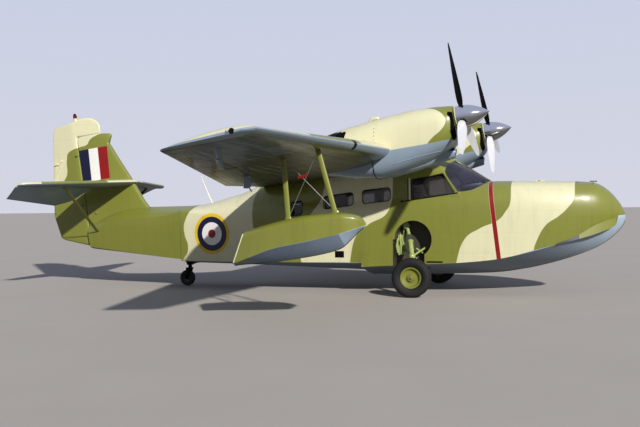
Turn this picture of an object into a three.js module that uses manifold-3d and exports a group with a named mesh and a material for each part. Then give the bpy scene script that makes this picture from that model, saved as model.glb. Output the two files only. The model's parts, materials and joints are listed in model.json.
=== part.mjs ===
// A twin-engined amphibious flying boat, parked on its wheels.
// Millimetres. +X is the bow, +Y is port, +Z is up, and z = 0 is the ground.
import * as THREE from 'three';
import { mergeVertices } from 'three/addons/utils/BufferGeometryUtils.js';
import Module from 'manifold-3d';

const wasm = await Module();
wasm.setup();

// Driving dimensions
const GAP = 0.3;               // between pieces that touch
const RUN = 8;                 // between a moving piece and its neighbours
const END_RUN = 14;            // at the ends of flaps and ailerons, whose hinge lines are slanted
const HALF_SPAN = 6096;
const PITCH = 10.5;            // degrees that the wing chord and thrust line rise when parked
const SLOPE = Math.tan(THREE.MathUtils.degToRad(PITCH));
const FLOOR_Z = 620;           // cabin floor
const BAGGAGE_FLOOR = { x0: -1000, x1: 200, halfY: 400, top: FLOOR_Z + 6 };
const BOW_X = 2900;            // bulkhead between bow and cabin
const AFT_X = -1100;           // bulkhead behind the cabin
const FIN_LEAN = Math.tan(THREE.MathUtils.degToRad(8));

const WING = {
  leX: 1740, leZ: 2050, teX: -620, breakY: 1900,
  tipLeX: 1500, tipTeX: 530, tipY: 5960,
  thickness: 0.15, tipThickness: 0.11, camber: 0.02,
};
const FLAP = { y0: 780, y1: 3800, hingeX0: -272, hingeX1: 317 };
const AILERON = { y0: 3830, y1: 5720, hingeX0: 326, hingeX1: 691 };
const ENGINE_Y = 1460;
const PROP = { x: 2655, z: 2478, radius: 1018, spinnerR: 160, nose: 358, tail: 88 };
const WHEEL = { x: 1848, y: 1095, radius: 280, width: 184, hubR: 150 };
const TAILWHEEL = { x: -2177, radius: 130, width: 78, swivelX: -2130 };
const FLOAT_Y = 3950;
const WELL = { x: 1790, z: 800, r: 275, outY: 720, inY: 430 };

const POST = { top: 540, foot: 330, r: 30 };
const PIN_R = 9;
const KNUCKLE_R = 9;

const PAINT = {
  olive: 0x7c8032, cream: 0xe6e3c2, sky: 0x9fb0bf, glass: 0x6f7c8c, rubber: 0x262428,
  metal: 0xb9bdc4, black: 0x202024, leather: 0x6a4a34, polished: 0xd3d8e9, engine: 0x55585c,
};
const FINISH = {
  paint: { roughness: 0.45, metalness: 0.05 },
  glass: { roughness: 0.08, metalness: 0 },
  rubber: { roughness: 0.85, metalness: 0 },
  metal: { roughness: 0.35, metalness: 0.8 },
  polished: { roughness: 0.12, metalness: 1 },
  soft: { roughness: 0.75, metalness: 0 },
};

const aircraft = new THREE.Group();

// Solids

function toManifold(geometry) {
  const g = geometry.clone();
  g.deleteAttribute('normal');
  g.deleteAttribute('uv');
  const merged = mergeVertices(g, 1e-3);
  return new wasm.Manifold(new wasm.Mesh({
    numProp: 3,
    vertProperties: new Float32Array(merged.attributes.position.array),
    triVerts: new Uint32Array(merged.index.array),
  }));
}

function toGeometry(solid) {
  const mesh = solid.getMesh();
  const g = new THREE.BufferGeometry();
  g.setAttribute('position', new THREE.BufferAttribute(new Float32Array(mesh.vertProperties), 3));
  g.setIndex(new THREE.BufferAttribute(new Uint32Array(mesh.triVerts), 1));
  g.computeVertexNormals();
  return g;
}

function surface(positions, index) {
  const g = new THREE.BufferGeometry();
  g.setAttribute('position', new THREE.Float32BufferAttribute(positions.flat(), 3));
  g.setIndex(index);
  return g;
}

// Skins a row of closed sections that have the same number of points. Each end is a fan
// from a point: the section's middle, or the point that is given. The port half's quads
// are split the other way, so that both sides match.
function loft(sections, startPoint, endPoint) {
  const n = sections[0].length;
  const points = sections.flat();
  const index = [];
  for (let s = 0; s + 1 < sections.length; s += 1) {
    for (let i = 0; i < n; i += 1) {
      const j = (i + 1) % n;
      const a = s * n + i;
      const b = s * n + j;
      const port = points[a][1] + points[b][1] > 0;
      if (port) index.push(a, b, a + n, b, b + n, a + n);
      else index.push(a, b, b + n, a, b + n, a + n);
    }
  }
  const ends = [[0, startPoint, true], [sections.length - 1, endPoint, false]];
  for (const [s, given, first] of ends) {
    const middle = given ?? [0, 1, 2].map((k) => sections[s].reduce((t, p) => t + p[k], 0) / n);
    const m = points.push(middle) - 1;
    for (let i = 0; i < n; i += 1) {
      const a = s * n + i;
      const b = s * n + ((i + 1) % n);
      if (first) index.push(m, b, a);
      else index.push(m, a, b);
    }
  }
  const g = surface(points, index);
  let solid = toManifold(g);
  if (solid.volume() < 0) solid = toManifold(surface(points, flipped(index)));
  return solid;
}

function flipped(index) {
  const out = index.slice();
  for (let i = 0; i < out.length; i += 3) [out[i], out[i + 1]] = [out[i + 1], out[i]];
  return out;
}

function mirrored(solid) {
  const g = toGeometry(solid);
  const p = g.attributes.position;
  for (let i = 0; i < p.count; i += 1) p.setY(i, -p.getY(i));
  g.setIndex(flipped(Array.from(g.index.array)));
  return toManifold(g);
}

function moved(geometry, matrix) {
  return toManifold(geometry.clone().applyMatrix4(matrix));
}

function box(x0, x1, y0, y1, z0, z1) {
  const g = new THREE.BoxGeometry(x1 - x0, y1 - y0, z1 - z0);
  g.translate((x0 + x1) / 2, (y0 + y1) / 2, (z0 + z1) / 2);
  return toManifold(g);
}

function cylinder(from, to, r0, r1 = r0, sides = 12) {
  const a = new THREE.Vector3(...from);
  const b = new THREE.Vector3(...to);
  const g = new THREE.CylinderGeometry(r1, r0, a.distanceTo(b), sides);
  const turn = new THREE.Quaternion();
  turn.setFromUnitVectors(new THREE.Vector3(0, 1, 0), b.clone().sub(a).normalize());
  const middle = a.clone().add(b).multiplyScalar(0.5);
  return moved(g, new THREE.Matrix4().compose(middle, turn, new THREE.Vector3(1, 1, 1)));
}

// A solid from an outline in the X-Z plane, between two values of y
function plate(outline, y0, y1) {
  const shape = new THREE.Shape(outline.map(([x, z]) => new THREE.Vector2(x, z)));
  const g = new THREE.ExtrudeGeometry(shape, { depth: y1 - y0, bevelEnabled: false });
  g.rotateX(Math.PI / 2);
  g.translate(0, y1, 0);
  return toManifold(g);
}

// The biggest of the bodies that a cut leaves
function largest(solid) {
  return solid.decompose().sort((p, q) => q.volume() - p.volume())[0];
}

function add(name, solid, color, finish, parent = aircraft) {
  const look = new THREE.MeshStandardMaterial({ color, ...finish });
  const mesh = new THREE.Mesh(toGeometry(solid), look);
  mesh.name = name;
  parent.add(mesh);
  return mesh;
}

// Adds a piece that is drawn on the starboard side, and its mirror image to port
function addPair(name, solid, color, finish) {
  add(`starboard_${name}`, solid, color, finish);
  add(`port_${name}`, mirrored(solid), color, finish);
}

function between(rows, x) {
  const i = Math.max(0, Math.min(rows.length - 2, rows.findIndex((r) => r[0] <= x) - 1));
  const [a, b] = [rows[i], rows[i + 1]];
  const t = (x - a[0]) / (b[0] - a[0]);
  return a.map((v, k) => v + (b[k] - v) * t);
}

// Hull

// Columns: x, keel z, chine half width, chine z, side half width, side z, top z, corner power
const HULL = [
  [4732, 1070, 22, 1098, 24, 1106, 1132, 2.2],
  [4700, 985, 85, 1092, 92, 1120, 1215, 2.2],
  [4620, 880, 180, 1075, 195, 1135, 1345, 2.4],
  [4500, 768, 280, 1045, 300, 1150, 1478, 2.6],
  [4330, 660, 375, 980, 400, 1155, 1580, 2.8],
  [4050, 542, 470, 815, 500, 1150, 1612, 3.0],
  [3700, 432, 550, 672, 578, 1130, 1622, 3.2],
  [3300, 340, 612, 553, 632, 1110, 1630, 3.4],
  [2900, 284, 655, 474, 662, 1100, 1635, 3.6],
  [2400, 262, 680, 440, 682, 1100, 1632, 3.6],
  [1800, 250, 688, 440, 688, 1100, 1628, 3.4],
  [1012, 236, 690, 392, 690, 1100, 1620, 3.2],
  [1008, 296, 688, 449, 690, 1100, 1620, 3.2],
  [0, 330, 655, 433, 672, 1080, 1615, 3.0],
  [-600, 350, 590, 430, 612, 1060, 1612, 2.8],
  [-1120, 365, 520, 434, 545, 1070, 1514, 2.6],
  [-1500, 375, 470, 438, 490, 1130, 1417, 2.2],
  [-1800, 381, 429, 440, 446, 1195, 1348, 1.9],
  [-2096, 388, 388, 442, 404, 1232, 1325, 1.6],
  [-2100, 432, 372, 505, 400, 1231, 1325, 1.6],
  [-2486, 462, 320, 560, 345, 1153, 1320, 1.5],
  [-2768, 492, 285, 590, 312, 1117, 1316, 1.5],
  [-3258, 542, 220, 640, 245, 1108, 1290, 1.5],
  [-4036, 623, 100, 700, 112, 840, 1000, 2.0],
];
const CORNER_STEPS = 5;

function hullSection([x, keel, chineY, chineZ, sideY, sideZ, top, power]) {
  const half = [
    [0, keel],
    [chineY * 0.5, keel + (chineZ - keel) * 0.42],
    [chineY, chineZ],
    [chineY + (sideY - chineY) * 0.6, chineZ + (sideZ - chineZ) * 0.5],
  ];
  for (let i = 0; i <= CORNER_STEPS; i += 1) {
    const t = (i / CORNER_STEPS) * (Math.PI / 2);
    const y = sideY * Math.max(Math.cos(t), 0) ** (2 / power);
    half.push([i === CORNER_STEPS ? 0 : y, sideZ + (top - sideZ) * Math.sin(t) ** (2 / power)]);
  }
  return ring(half, () => x);
}

// Closes a half outline, from bottom to top, with its mirror image
function ring(half, xOf) {
  const points = half.map(([y, z]) => [xOf(y, z), -y, z]);
  const back = half.slice(1, -1).reverse().map(([y, z]) => [xOf(y, z), y, z]);
  return points.concat(back);
}

// Columns: x, half width, side z, roof z, corner power
const CABIN = [
  [2330, 652, 1660, 1985, 2.8],
  [2000, 660, 1700, 2045, 2.8],
  [1740, 664, 1720, 2085, 2.8],
  [1200, 666, 1690, 2060, 2.8],
  [600, 660, 1580, 1950, 2.7],
  [0, 640, 1440, 1820, 2.6],
  [-620, 584, 1290, 1700, 2.5],
  [-1090, 528, 1180, 1522, 2.4],
];
const CABIN_ROOM = [
  [2320, 622, 1630, 1915, 2.8],
  [1760, 634, 1640, 1900, 2.8],
  [1500, 636, 1600, 1830, 2.8],
  [1200, 638, 1520, 1765, 2.8],
  [600, 630, 1430, 1685, 2.7],
  [0, 606, 1310, 1615, 2.6],
  [-620, 546, 1200, 1580, 2.5],
  [-1060, 488, 1100, 1460, 2.4],
];
const DECK_ROOM = [
  [2855, 585, 1380, 1585, 3.2],
  [2180, 614, 1400, 1600, 3.2],
];
// The windscreen is a cone from the ridge's foot to the front edge of the cabin
const RIDGE = [2870, 0, 1630];
const SILL = { x: 2440, y: 640, z: 1480 };
const BROW = { x: 2330, z: 1985 };
const SCREEN_WALL = 34;

function cabinSection([x, halfY, sideZ, roofZ, power], bottomZ, front) {
  const half = [[0, bottomZ], [halfY + 4, bottomZ], [halfY, (bottomZ + sideZ) / 2]];
  for (let i = 0; i <= CORNER_STEPS; i += 1) {
    const t = (i / CORNER_STEPS) * (Math.PI / 2);
    const y = halfY * Math.max(Math.cos(t), 0) ** (2 / power);
    half.push([i === CORNER_STEPS ? 0 : y, sideZ + (roofZ - sideZ) * Math.sin(t) ** (2 / power)]);
  }
  return ring(half, front ?? (() => x));
}

// Where the front edge of the cabin lies: raked along the side post, then forward to the brow
function screenEdge(inset) {
  return (y, z) => {
    const side = Math.min(Math.max(Math.abs(y) / SILL.y, 0), 1);
    const post = SILL.x + (SILL.z - z) * 0.68;
    const brow = BROW.x - 20;
    return brow + (post - brow) * side ** 1.5 - inset;
  };
}

function cabinBody(rows, bottomZ, inset) {
  const sections = rows.map((row) => cabinSection(row, bottomZ));
  sections[0] = cabinSection(rows[0], bottomZ, screenEdge(inset));
  const foot = [RIDGE[0] - inset * 1.6, 0, RIDGE[2] - (inset ? 60 : 0)];
  return loft(sections, foot);
}

const hullSolid = loft(HULL.map(hullSection));
const cabinShell = cabinBody(CABIN, 1150, 0);
// The room inside: its sides and roof, drawn in by inset, and the space below the foredeck
function roomSolid(inset) {
  const inner = ([x, halfY, ...rest]) => [x, halfY - inset, ...rest];
  const main = cabinBody(CABIN_ROOM.map(inner), FLOOR_Z, SCREEN_WALL + inset);
  const deck = loft(DECK_ROOM.map((row) => cabinSection(inner(row), FLOOR_Z)));
  return main.intersect(box(-2000, BOW_X - 45, -900, 900, 0, 3000)).add(deck);
}

// Wing

function wingAt(y) {
  const out = Math.max(0, Math.abs(y) - WING.breakY) / (WING.tipY - WING.breakY);
  const le = WING.leX + (WING.tipLeX - WING.leX) * out;
  const te = WING.teX + (WING.tipTeX - WING.teX) * out;
  const thickness = WING.thickness + (WING.tipThickness - WING.thickness) * out;
  return { le, te, chord: le - te, thickness };
}

function chordZ(x, y) {
  return WING.leZ - SLOPE * (wingAt(y).le - x);
}

// Height of the skin above the chord line at a share f of the chord
function skin(y, f, side) {
  const { chord, thickness } = wingAt(y);
  const half = 5 * thickness * (0.2969 * Math.sqrt(f) - 0.126 * f - 0.3516 * f ** 2
    + 0.2843 * f ** 3 - 0.1015 * f ** 4);
  return chord * (WING.camber * 4 * f * (1 - f) + side * half);
}

const FOIL = [1, 0.86, 0.7, 0.52, 0.34, 0.2, 0.1, 0.04, 0.01, 0];
const EDGE = 3;               // half thickness of a trailing edge

function wingSection(y, grow, share = 1, inset = 0) {
  const { le, chord } = wingAt(y);
  const at = (f, side) => {
    const x = le - inset - f * (chord - inset * 1.5);
    const half = skin(y, f, side) + side * (f === 1 ? EDGE : 0);
    const ahead = f === 1 ? -grow : grow * Math.max(0, 1 - f * 30);
    return [x + ahead, y, chordZ(x, y) + half * share + side * grow];
  };
  const upper = FOIL.map((f) => at(f, 1));
  const lower = FOIL.slice(0, -1).reverse().map((f) => at(f, -1));
  return upper.concat(lower);
}

function wingSolid(grow, y0 = 0) {
  const stations = [[y0, 1, 0], [WING.breakY, 1, 0], [5700, 1, 0], [5980, 1, 0], [6040, 0.85, 22],
    [6074, 0.55, 55], [HALF_SPAN, 0.2, 100]];
  const sections = stations.map(([y, share, inset]) => wingSection(-y, grow, share, inset));
  return loft(sections);
}

function hingeX(part, y) {
  const t = (y - part.y0) / (part.y1 - part.y0);
  return part.hingeX0 + (part.hingeX1 - part.hingeX0) * t;
}

function hingeRadius(part, y) {
  const { le, chord } = wingAt(y);
  const f = (le - hingeX(part, y)) / chord;
  return (skin(y, f, 1) - skin(y, f, -1)) / 2;
}

function hingePoint(part, y) {
  const x = hingeX(part, y);
  const f = (wingAt(y).le - x) / wingAt(y).chord;
  return [x, -y, chordZ(x, y) + (skin(y, f, 1) + skin(y, f, -1)) / 2];
}

function spanStations(part, inset) {
  const ends = [part.y0 + inset, part.y1 - inset];
  return part.y0 < WING.breakY ? [ends[0], WING.breakY, ends[1]] : ends;
}

// A flap or aileron: a round nose about its hinge, tapering to the trailing edge
function controlSurface(part) {
  const sections = spanStations(part, END_RUN).map((y) => {
    const { te } = wingAt(y);
    const r = hingeRadius(part, y);
    const [x, , z] = hingePoint(part, y);
    const points = [[te, -y, chordZ(te, y) - EDGE], [te, -y, chordZ(te, y) + EDGE]];
    for (let i = 0; i <= 6; i += 1) {
      const a = Math.PI / 2 - (i / 6) * Math.PI;
      points.push([x + r * Math.cos(a), -y, z + r * Math.sin(a)]);
    }
    return points;
  });
  return loft(sections);
}

// The space that a control surface moves in, cut out of the wing
function controlBay(part) {
  const front = spanStations(part, 0).map((y) => [hingeX(part, y) + hingeRadius(part, y) + RUN, -y]);
  const far = -1200;
  const outline = [...front, [far, -part.y1], [far, -part.y0]];
  const sections = [1200, 2500].map((z) => outline.map(([x, y]) => [x, y, z]));
  return loft(sections);
}

// Nacelles

// Columns: x, half width, bottom z, top z, corner power
const NACELLE = [
  [2620, 215, 2240, 2600, 2.2],
  [2590, 290, 2150, 2618, 2.4],
  [2520, 350, 2060, 2626, 2.7],
  [2350, 394, 1955, 2620, 3.0],
  [2072, 404, 1830, 2597, 3.2],
  [1794, 404, 1735, 2548, 3.2],
  [1500, 400, 1672, 2485, 3.2],
  [1225, 384, 1672, 2420, 3.0],
  [900, 344, 1708, 2336, 2.8],
  [500, 262, 1752, 2190, 2.6],
  [100, 160, 1762, 2010, 2.4],
];
const SCOOP = [
  [2550, 84, 1932, 2068, 2.2],
  [2300, 118, 1858, 2080, 2.4],
  [2000, 190, 1764, 1960, 2.6],
  [1700, 240, 1690, 1900, 2.6],
];
const NACELLE_SIDES = 16;
const COWL = 20;               // cowling with its stiffeners
const FIREWALL_X = 1800;

function ovalSection([x, halfY, z0, z1, power], shrink = 0) {
  const points = [];
  for (let i = 0; i < NACELLE_SIDES; i += 1) {
    const a = (i / NACELLE_SIDES) * 2 * Math.PI;
    const c = Math.cos(a);
    const s = Math.sin(a);
    const y = Math.sign(c) * Math.abs(c) ** (2 / power) * (halfY - shrink);
    const z = Math.sign(s) * Math.abs(s) ** (2 / power) * ((z1 - z0) / 2 - shrink);
    points.push([x, -ENGINE_Y + y, (z0 + z1) / 2 + z]);
  }
  return points;
}

// Turns a solid that is drawn along +X at the origin onto the starboard thrust line
const THRUST = new THREE.Matrix4().makeTranslation(PROP.x, -ENGINE_Y, PROP.z)
  .multiply(new THREE.Matrix4().makeRotationY(-THREE.MathUtils.degToRad(PITCH)));

function onThrustLine(geometry) {
  return moved(geometry, THRUST);
}

function nacelleSolid(wingCut) {
  const outer = loft(NACELLE.map((row) => ovalSection(row)));
  const scoop = loft(SCOOP.map((row) => ovalSection(row)));
  const roomRows = [2, 3, 4, 5].map((i) => NACELLE[i].slice());
  roomRows[0][0] = 2470;
  roomRows[3][0] = FIREWALL_X;
  const room = loft(roomRows.map((row) => ovalSection(row, COWL)));
  const duct = loft([[2600, ...SCOOP[0].slice(1)], [2300, 84, 1950, 2060, 2.2]].map(
    (row) => ovalSection(row, 16),
  ));
  const front = new THREE.BoxGeometry(400, 1200, 1200).translate(200 - PROP.tail - 15, 0, 0);
  const shaft = new THREE.CylinderGeometry(62, 62, 260, 12).rotateZ(Math.PI / 2)
    .translate(-PROP.tail - 60, 0, 0);
  let solid = outer.add(scoop).subtract(room).subtract(duct);
  for (const side of [-1, 1]) {
    const inlet = new THREE.BoxGeometry(300, 84, 330).translate(-PROP.tail - 60, side * 228, -70);
    solid = solid.subtract(onThrustLine(inlet));
  }
  return solid.subtract(onThrustLine(front)).subtract(onThrustLine(shaft)).subtract(wingCut);
}

// Propellers

// Columns: radius, chord, thickness, pitch in degrees
const BLADE = [
  [50, 62, 50, 40],
  [190, 84, 36, 36],
  [380, 124, 22, 29],
  [620, 134, 14, 23],
  [850, 118, 9, 18],
  [985, 78, 6, 16],
  [PROP.radius, 30, 4, 16],
];
const BLADE_PHASE = { starboard: 2, port: 13.6 };

function bladeSolid() {
  const sections = BLADE.map(([r, chord, thick, pitch]) => {
    const a = THREE.MathUtils.degToRad(pitch);
    const lens = [[0.5, 0], [0.15, 0.5], [-0.5, 0], [0.15, -0.4]];
    return lens.map(([u, v]) => {
      const along = u * chord;
      const out = v * thick;
      return [along * Math.sin(a) + out * Math.cos(a), -along * Math.cos(a) + out * Math.sin(a), r];
    });
  });
  return loft(sections);
}

function turnedAboutX(solid, degrees) {
  const turn = new THREE.Matrix4().makeRotationX(THREE.MathUtils.degToRad(degrees));
  return moved(toGeometry(solid), turn);
}

function lathe(profile, sides) {
  const points = profile.map(([r, h]) => new THREE.Vector2(r, h));
  return new THREE.LatheGeometry(points, sides).rotateZ(-Math.PI / 2);
}

function addPropeller(side, y) {
  const group = new THREE.Group();
  group.position.set(PROP.x, y, PROP.z);
  group.rotation.y = -THREE.MathUtils.degToRad(PITCH);
  const R = PROP.spinnerR;
  const nose = PROP.nose;
  const outer = [[0, -PROP.tail], [R, -PROP.tail], [R, -10], [R * 0.9, 100],
    [R * 0.64, 208], [R * 0.3, 305], [0, nose]];
  const plateX = 46 - PROP.tail;
  const inner = [[0, plateX], [R - 14, plateX], [R - 14, -10], [R * 0.9 - 14, 96], [0, 230]];
  const hub = lathe([[0, plateX + GAP], [66, plateX + GAP], [66, 50], [0, 78]], 12);
  const blade = bladeSolid();
  let spinner = toManifold(lathe(outer, 20)).subtract(toManifold(lathe(inner, 12)));
  let blades = toManifold(hub);
  for (let k = 0; k < 3; k += 1) {
    const angle = BLADE_PHASE[side] + 120 * k;
    blades = blades.add(turnedAboutX(blade, angle));
    const root = new THREE.CylinderGeometry(54, 54, 200, 10).rotateX(Math.PI / 2).translate(0, 0, 190);
    spinner = spinner.subtract(turnedAboutX(toManifold(root), angle));
  }
  add(`${side}_spinner`, spinner, PAINT.polished, FINISH.polished, group);
  add(`${side}_propeller_blades`, blades, PAINT.black, FINISH.paint, group);
  aircraft.add(group);
}

// Tail

const HINGE = { x0: -4050, z0: 900 };                   // a point on the rudder's hinge
const rudderX = (z) => HINGE.x0 - (z - HINGE.z0) * FIN_LEAN;
const RUDDER_NOSE = 44;
const LUG_Z = [1350, 2200];
const FIN_EDGE = [
  [-2768, 1236], [-2881, 1297], [-2992, 1433], [-3176, 1759], [-3419, 2122], [-3617, 2418],
  [-3566, 2560], [-3600, 2582],
];
const RUDDER_EDGE = [
  [-3800, 2717], [-3853, 2796], [-3951, 2850], [-4049, 2866], [-4169, 2859], [-4249, 2833],
  [-4330, 2797], [-4431, 2776], [-4553, 2751], [-4655, 2715], [-4717, 2665], [-4735, 2600],
  [-4735, 1180], [-4718, 1123], [-4597, 789], [-4520, 752],
];
const TAIL = {
  rootLe: -3090, tipLe: -3731, tipY: 2205, rootHalf: 60, tipHalf: 34,
  slope: Math.tan(THREE.MathUtils.degToRad(5)), hingeX: -3900, hingeZ: 1675,
};
const ELEVATOR = { innerY: 150, r: 36, fall: Math.tan(THREE.MathUtils.degToRad(31)) };
const STABILISER_REAR = TAIL.hingeX + ELEVATOR.r + RUN;
const TUBE_R = 18;

const tailT = (y) => y / TAIL.tipY;
const tailHalf = (y) => TAIL.rootHalf + (TAIL.tipHalf - TAIL.rootHalf) * tailT(y);
const tailZ = (x) => TAIL.hingeZ + TAIL.slope * (x - TAIL.hingeX);

function tailplaneSolid() {
  const stations = [[20, 1, 0], [2090, 1, 0], [2165, 0.85, 12], [TAIL.tipY, 0.45, 50]];
  return loft(stations.map(([y, share, back]) => {
    const front = TAIL.rootLe + (TAIL.tipLe - TAIL.rootLe) * tailT(y) - back;
    const h = tailHalf(y) * share;
    const length = front - STABILISER_REAR;
    const outline = [[0, 0], [0.06, 0.55], [0.35, 1], [1, 0.66], [1, -0.66], [0.35, -1], [0.06, -0.55]];
    return outline.map(([f, dz]) => [front - f * length, -y, tailZ(front - f * length) + dz * h]);
  }));
}

// Columns: y, trailing edge x, share of the nose radius. The elevators rest drooped on their stops.
const ELEVATOR_STATIONS = [
  [ELEVATOR.innerY, -4300, 1],
  [450, -4426, 1],
  [1900, -4240, 0.84],
  [1975, -4228, 0.8],
  [2050, -4085, 0.74],
  [2140, -3945, 0.66],
];

function elevatorSolid() {
  return loft(ELEVATOR_STATIONS.map(([y, te, share]) => {
    const endZ = TAIL.hingeZ - ELEVATOR.fall * (TAIL.hingeX - te);
    const points = [[te, -y, endZ - EDGE], [te, -y, endZ + EDGE]];
    for (let i = 0; i <= 6; i += 1) {
      const a = Math.PI / 2 - (i / 6) * Math.PI;
      const r = ELEVATOR.r * share;
      points.push([TAIL.hingeX + r * Math.cos(a), -y, TAIL.hingeZ + r * Math.sin(a)]);
    }
    return points;
  }));
}

const HORN = { x: -4280, z: 2524 };                     // the gap below the rudder's horn
const hornZ = (x) => HORN.z + FIN_LEAN * (x - HORN.x);

// A profile across the tail, drawn between two heights from half thicknesses at given x
function finProfile(rowsAt) {
  return loft([400, 3100].map((z) => {
    const rows = rowsAt(z);
    const port = rows.map(([x, half]) => [x, half, z]);
    const starboard = rows.map(([x, half]) => [x, -half, z]).reverse();
    return port.concat(starboard);
  }));
}

function finSolid(grow = 0) {
  const rear = RUDDER_NOSE + RUN;
  const top = HORN.x + 60;
  const outline = FIN_EDGE.concat([
    [-3779, hornZ(-3779) - RUN / 2], [top, hornZ(top) - RUN / 2],
    [rudderX(2400) + rear, 2400], [rudderX(900) + rear, 900], [-3400, 860], [-2768, 1000],
  ]);
  const edge = (z) => -2700 - Math.max(z - 1250, 0) * 0.7;
  const profile = finProfile((z) => [
    [edge(z) + 200, 10 + grow], [edge(z) - 260, 54 + grow], [-4300, 46 + grow], [-4600, 46 + grow],
  ]);
  return plate(outline, -80, 80).intersect(profile).add(rudderLugs(0));
}

// Lugs that stand out from the fin's rear face and carry the rudder's pins
function rudderLugs(grow) {
  let lugs = null;
  for (const z of LUG_Z) {
    const at = (up) => [rudderX(z + up), 0, z + up];
    const round = cylinder(at(-11 - grow), at(11 + grow), grow ? 62 : 30);
    const [low, high] = [at(-11), at(11)];
    const ahead = (q) => [q[0] + 75, q[2] + 75 * FIN_LEAN];
    const stem = plate([[low[0], low[2]], ahead(low), ahead(high), [high[0], high[2]]], -12, 12);
    const lug = grow ? round : round.add(stem);
    lugs = lugs ? lugs.add(lug) : lug;
  }
  return lugs;
}

function rudderSolid() {
  const nose = (z) => [rudderX(z) + RUDDER_NOSE, z];
  const outline = [
    [-3786, hornZ(-3786) + RUN / 2], ...RUDDER_EDGE, [rudderX(668) - 30, 662], nose(690),
    nose(hornZ(HORN.x + 60)), [HORN.x + 104, hornZ(HORN.x + 104) + RUN / 2],
  ];
  const profile = finProfile((z) => [
    [rudderX(z) + 520, 15], [rudderX(z) + RUDDER_NOSE, 17], [rudderX(z) + 26, 36], [rudderX(z), 43],
    [-4760, 4],
  ]);
  return plate(outline, -80, 80).intersect(profile).subtract(rudderLugs(0.5));
}

// Wing floats

// Columns: x, keel z, chine half width, chine z, deck half width, deck z
const FLOAT = [
  [1950, 1100, 12, 1112, 14, 1140],
  [1870, 1020, 92, 1080, 96, 1215],
  [1690, 876, 160, 1024, 160, 1256],
  [1300, 768, 195, 935, 190, 1233],
  [930, 712, 200, 862, 180, 1160],
  [640, 684, 175, 762, 140, 1082],
  [430, 664, 130, 690, 96, 1010],
  [386, 656, 118, 676, 88, 990],
];
const FLOAT_STRUTS = [
  { name: 'front', topX: 1400, footX: 1607 },
  { name: 'rear', topX: 992, footX: 1050 },
];
const STRUT = { length: 62, width: 26 };

function floatSolid() {
  const sections = FLOAT.map(([x, keel, chineY, chineZ, deckY, deckZ]) => {
    const half = [[0, keel], [chineY * 0.5, keel + (chineZ - keel) * 0.45], [chineY, chineZ],
      [deckY, deckZ - (deckZ - chineZ) * 0.35], [deckY * 0.72, deckZ - 16], [0, deckZ]];
    return ring(half, () => x).map(([px, py, pz]) => [px, py - FLOAT_Y, pz]);
  });
  const stern = plate([[200, 600], [382, 600], [560, 1103], [200, 1103]], -FLOAT_Y - 300, -FLOAT_Y + 300);
  return loft(sections).subtract(stern);
}

function floatDeckZ(x) {
  return between(FLOAT, x)[5];
}

function streamlined([x, y, z]) {
  const shape = [[0.5, 0], [0.25, 0.45], [-0.05, 0.5], [-0.5, 0], [-0.05, -0.5], [0.25, -0.45]];
  return shape.map(([u, v]) => [x + u * STRUT.length, y + v * STRUT.width, z]);
}

function strutBetween(top, foot) {
  return loft([streamlined(top), streamlined(foot)]);
}

// Undercarriage

const HUB_DISC = 0.2;          // from the wheel's middle to a face of its disc, as a share of the width

function wheelHub(r, width) {
  const face = width * HUB_DISC;
  const profile = [[0, -width * 0.3], [r * 0.3, -width * 0.3], [r * 0.36, -face], [r * 0.8, -face],
    [r, -width * 0.34], [r, width * 0.34], [r * 0.8, face], [0, face]];
  const points = profile.map(([a, b]) => new THREE.Vector2(a, b));
  return new THREE.LatheGeometry(points, 28);
}

function tyreRing(r, inner, width) {
  const w = width / 2;
  const profile = [[inner, -w * 0.66], [r * 0.8, -w], [r * 0.94, -w * 0.8], [r, -w * 0.3],
    [r, w * 0.3], [r * 0.94, w * 0.8], [r * 0.8, w], [inner, w * 0.66], [inner, -w * 0.66]];
  return new THREE.LatheGeometry(profile.map(([a, b]) => new THREE.Vector2(a, b)), 28);
}

function gearLeg() {
  const axleZ = WHEEL.radius;
  const innerY = -(WHEEL.y - WHEEL.width * HUB_DISC - GAP);
  const knuckleY = -(WHEEL.y - 150);
  const pivot = [1740, -WELL.inY - 40, 1000];
  const knuckle = [WHEEL.x, knuckleY, axleZ];
  const collar = [1800, -800, 560];
  let leg = cylinder([WHEEL.x, knuckleY + 40, axleZ], [WHEEL.x, innerY, axleZ], 24);
  leg = leg.add(cylinder(knuckle, collar, 30, 34));
  leg = leg.add(cylinder(collar, pivot, 40, 46));
  leg = leg.add(cylinder([pivot[0], -WELL.inY - GAP, pivot[2]], [pivot[0], -WELL.inY - 90, pivot[2]], 52));
  leg = leg.add(cylinder(collar, [1975, -WELL.inY - GAP, 700], 17));
  leg = leg.add(cylinder(collar, [1585, -WELL.inY - GAP, 660], 17));
  leg = leg.add(toManifold(new THREE.SphereGeometry(48, 10, 6).translate(...collar)))
    .add(toManifold(new THREE.SphereGeometry(42, 10, 6).translate(...knuckle)));
  return leg.intersect(box(1400, 2200, innerY, -WELL.inY - GAP, 0, 1200));
}

// Cabin fittings

const WINDOWS = [
  // Columns: front x, rear x, top z at the front, top z at the rear, sill z at the front and rear
  [2330, 1745, 1700, 1655, 1462, 1380],
  [1452, 1037, 1560, 1520, 1372, 1330],
  [887, 434, 1497, 1440, 1312, 1256],
  [82, -98, 1383, 1360, 1180, 1155],
];

function windowCuts(grow) {
  return WINDOWS.map(([x1, x0, t1, t0, s1, s0], i) => {
    const rake = i === 0 ? 100 : 0;
    return plate([[x0 - grow, s0 - grow], [x1 + grow, s1 - grow], [x1 - rake + grow, t1 + grow],
      [x0 + rake * 0.3 - grow, t0 + grow]], -760, -380);
  });
}

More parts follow.
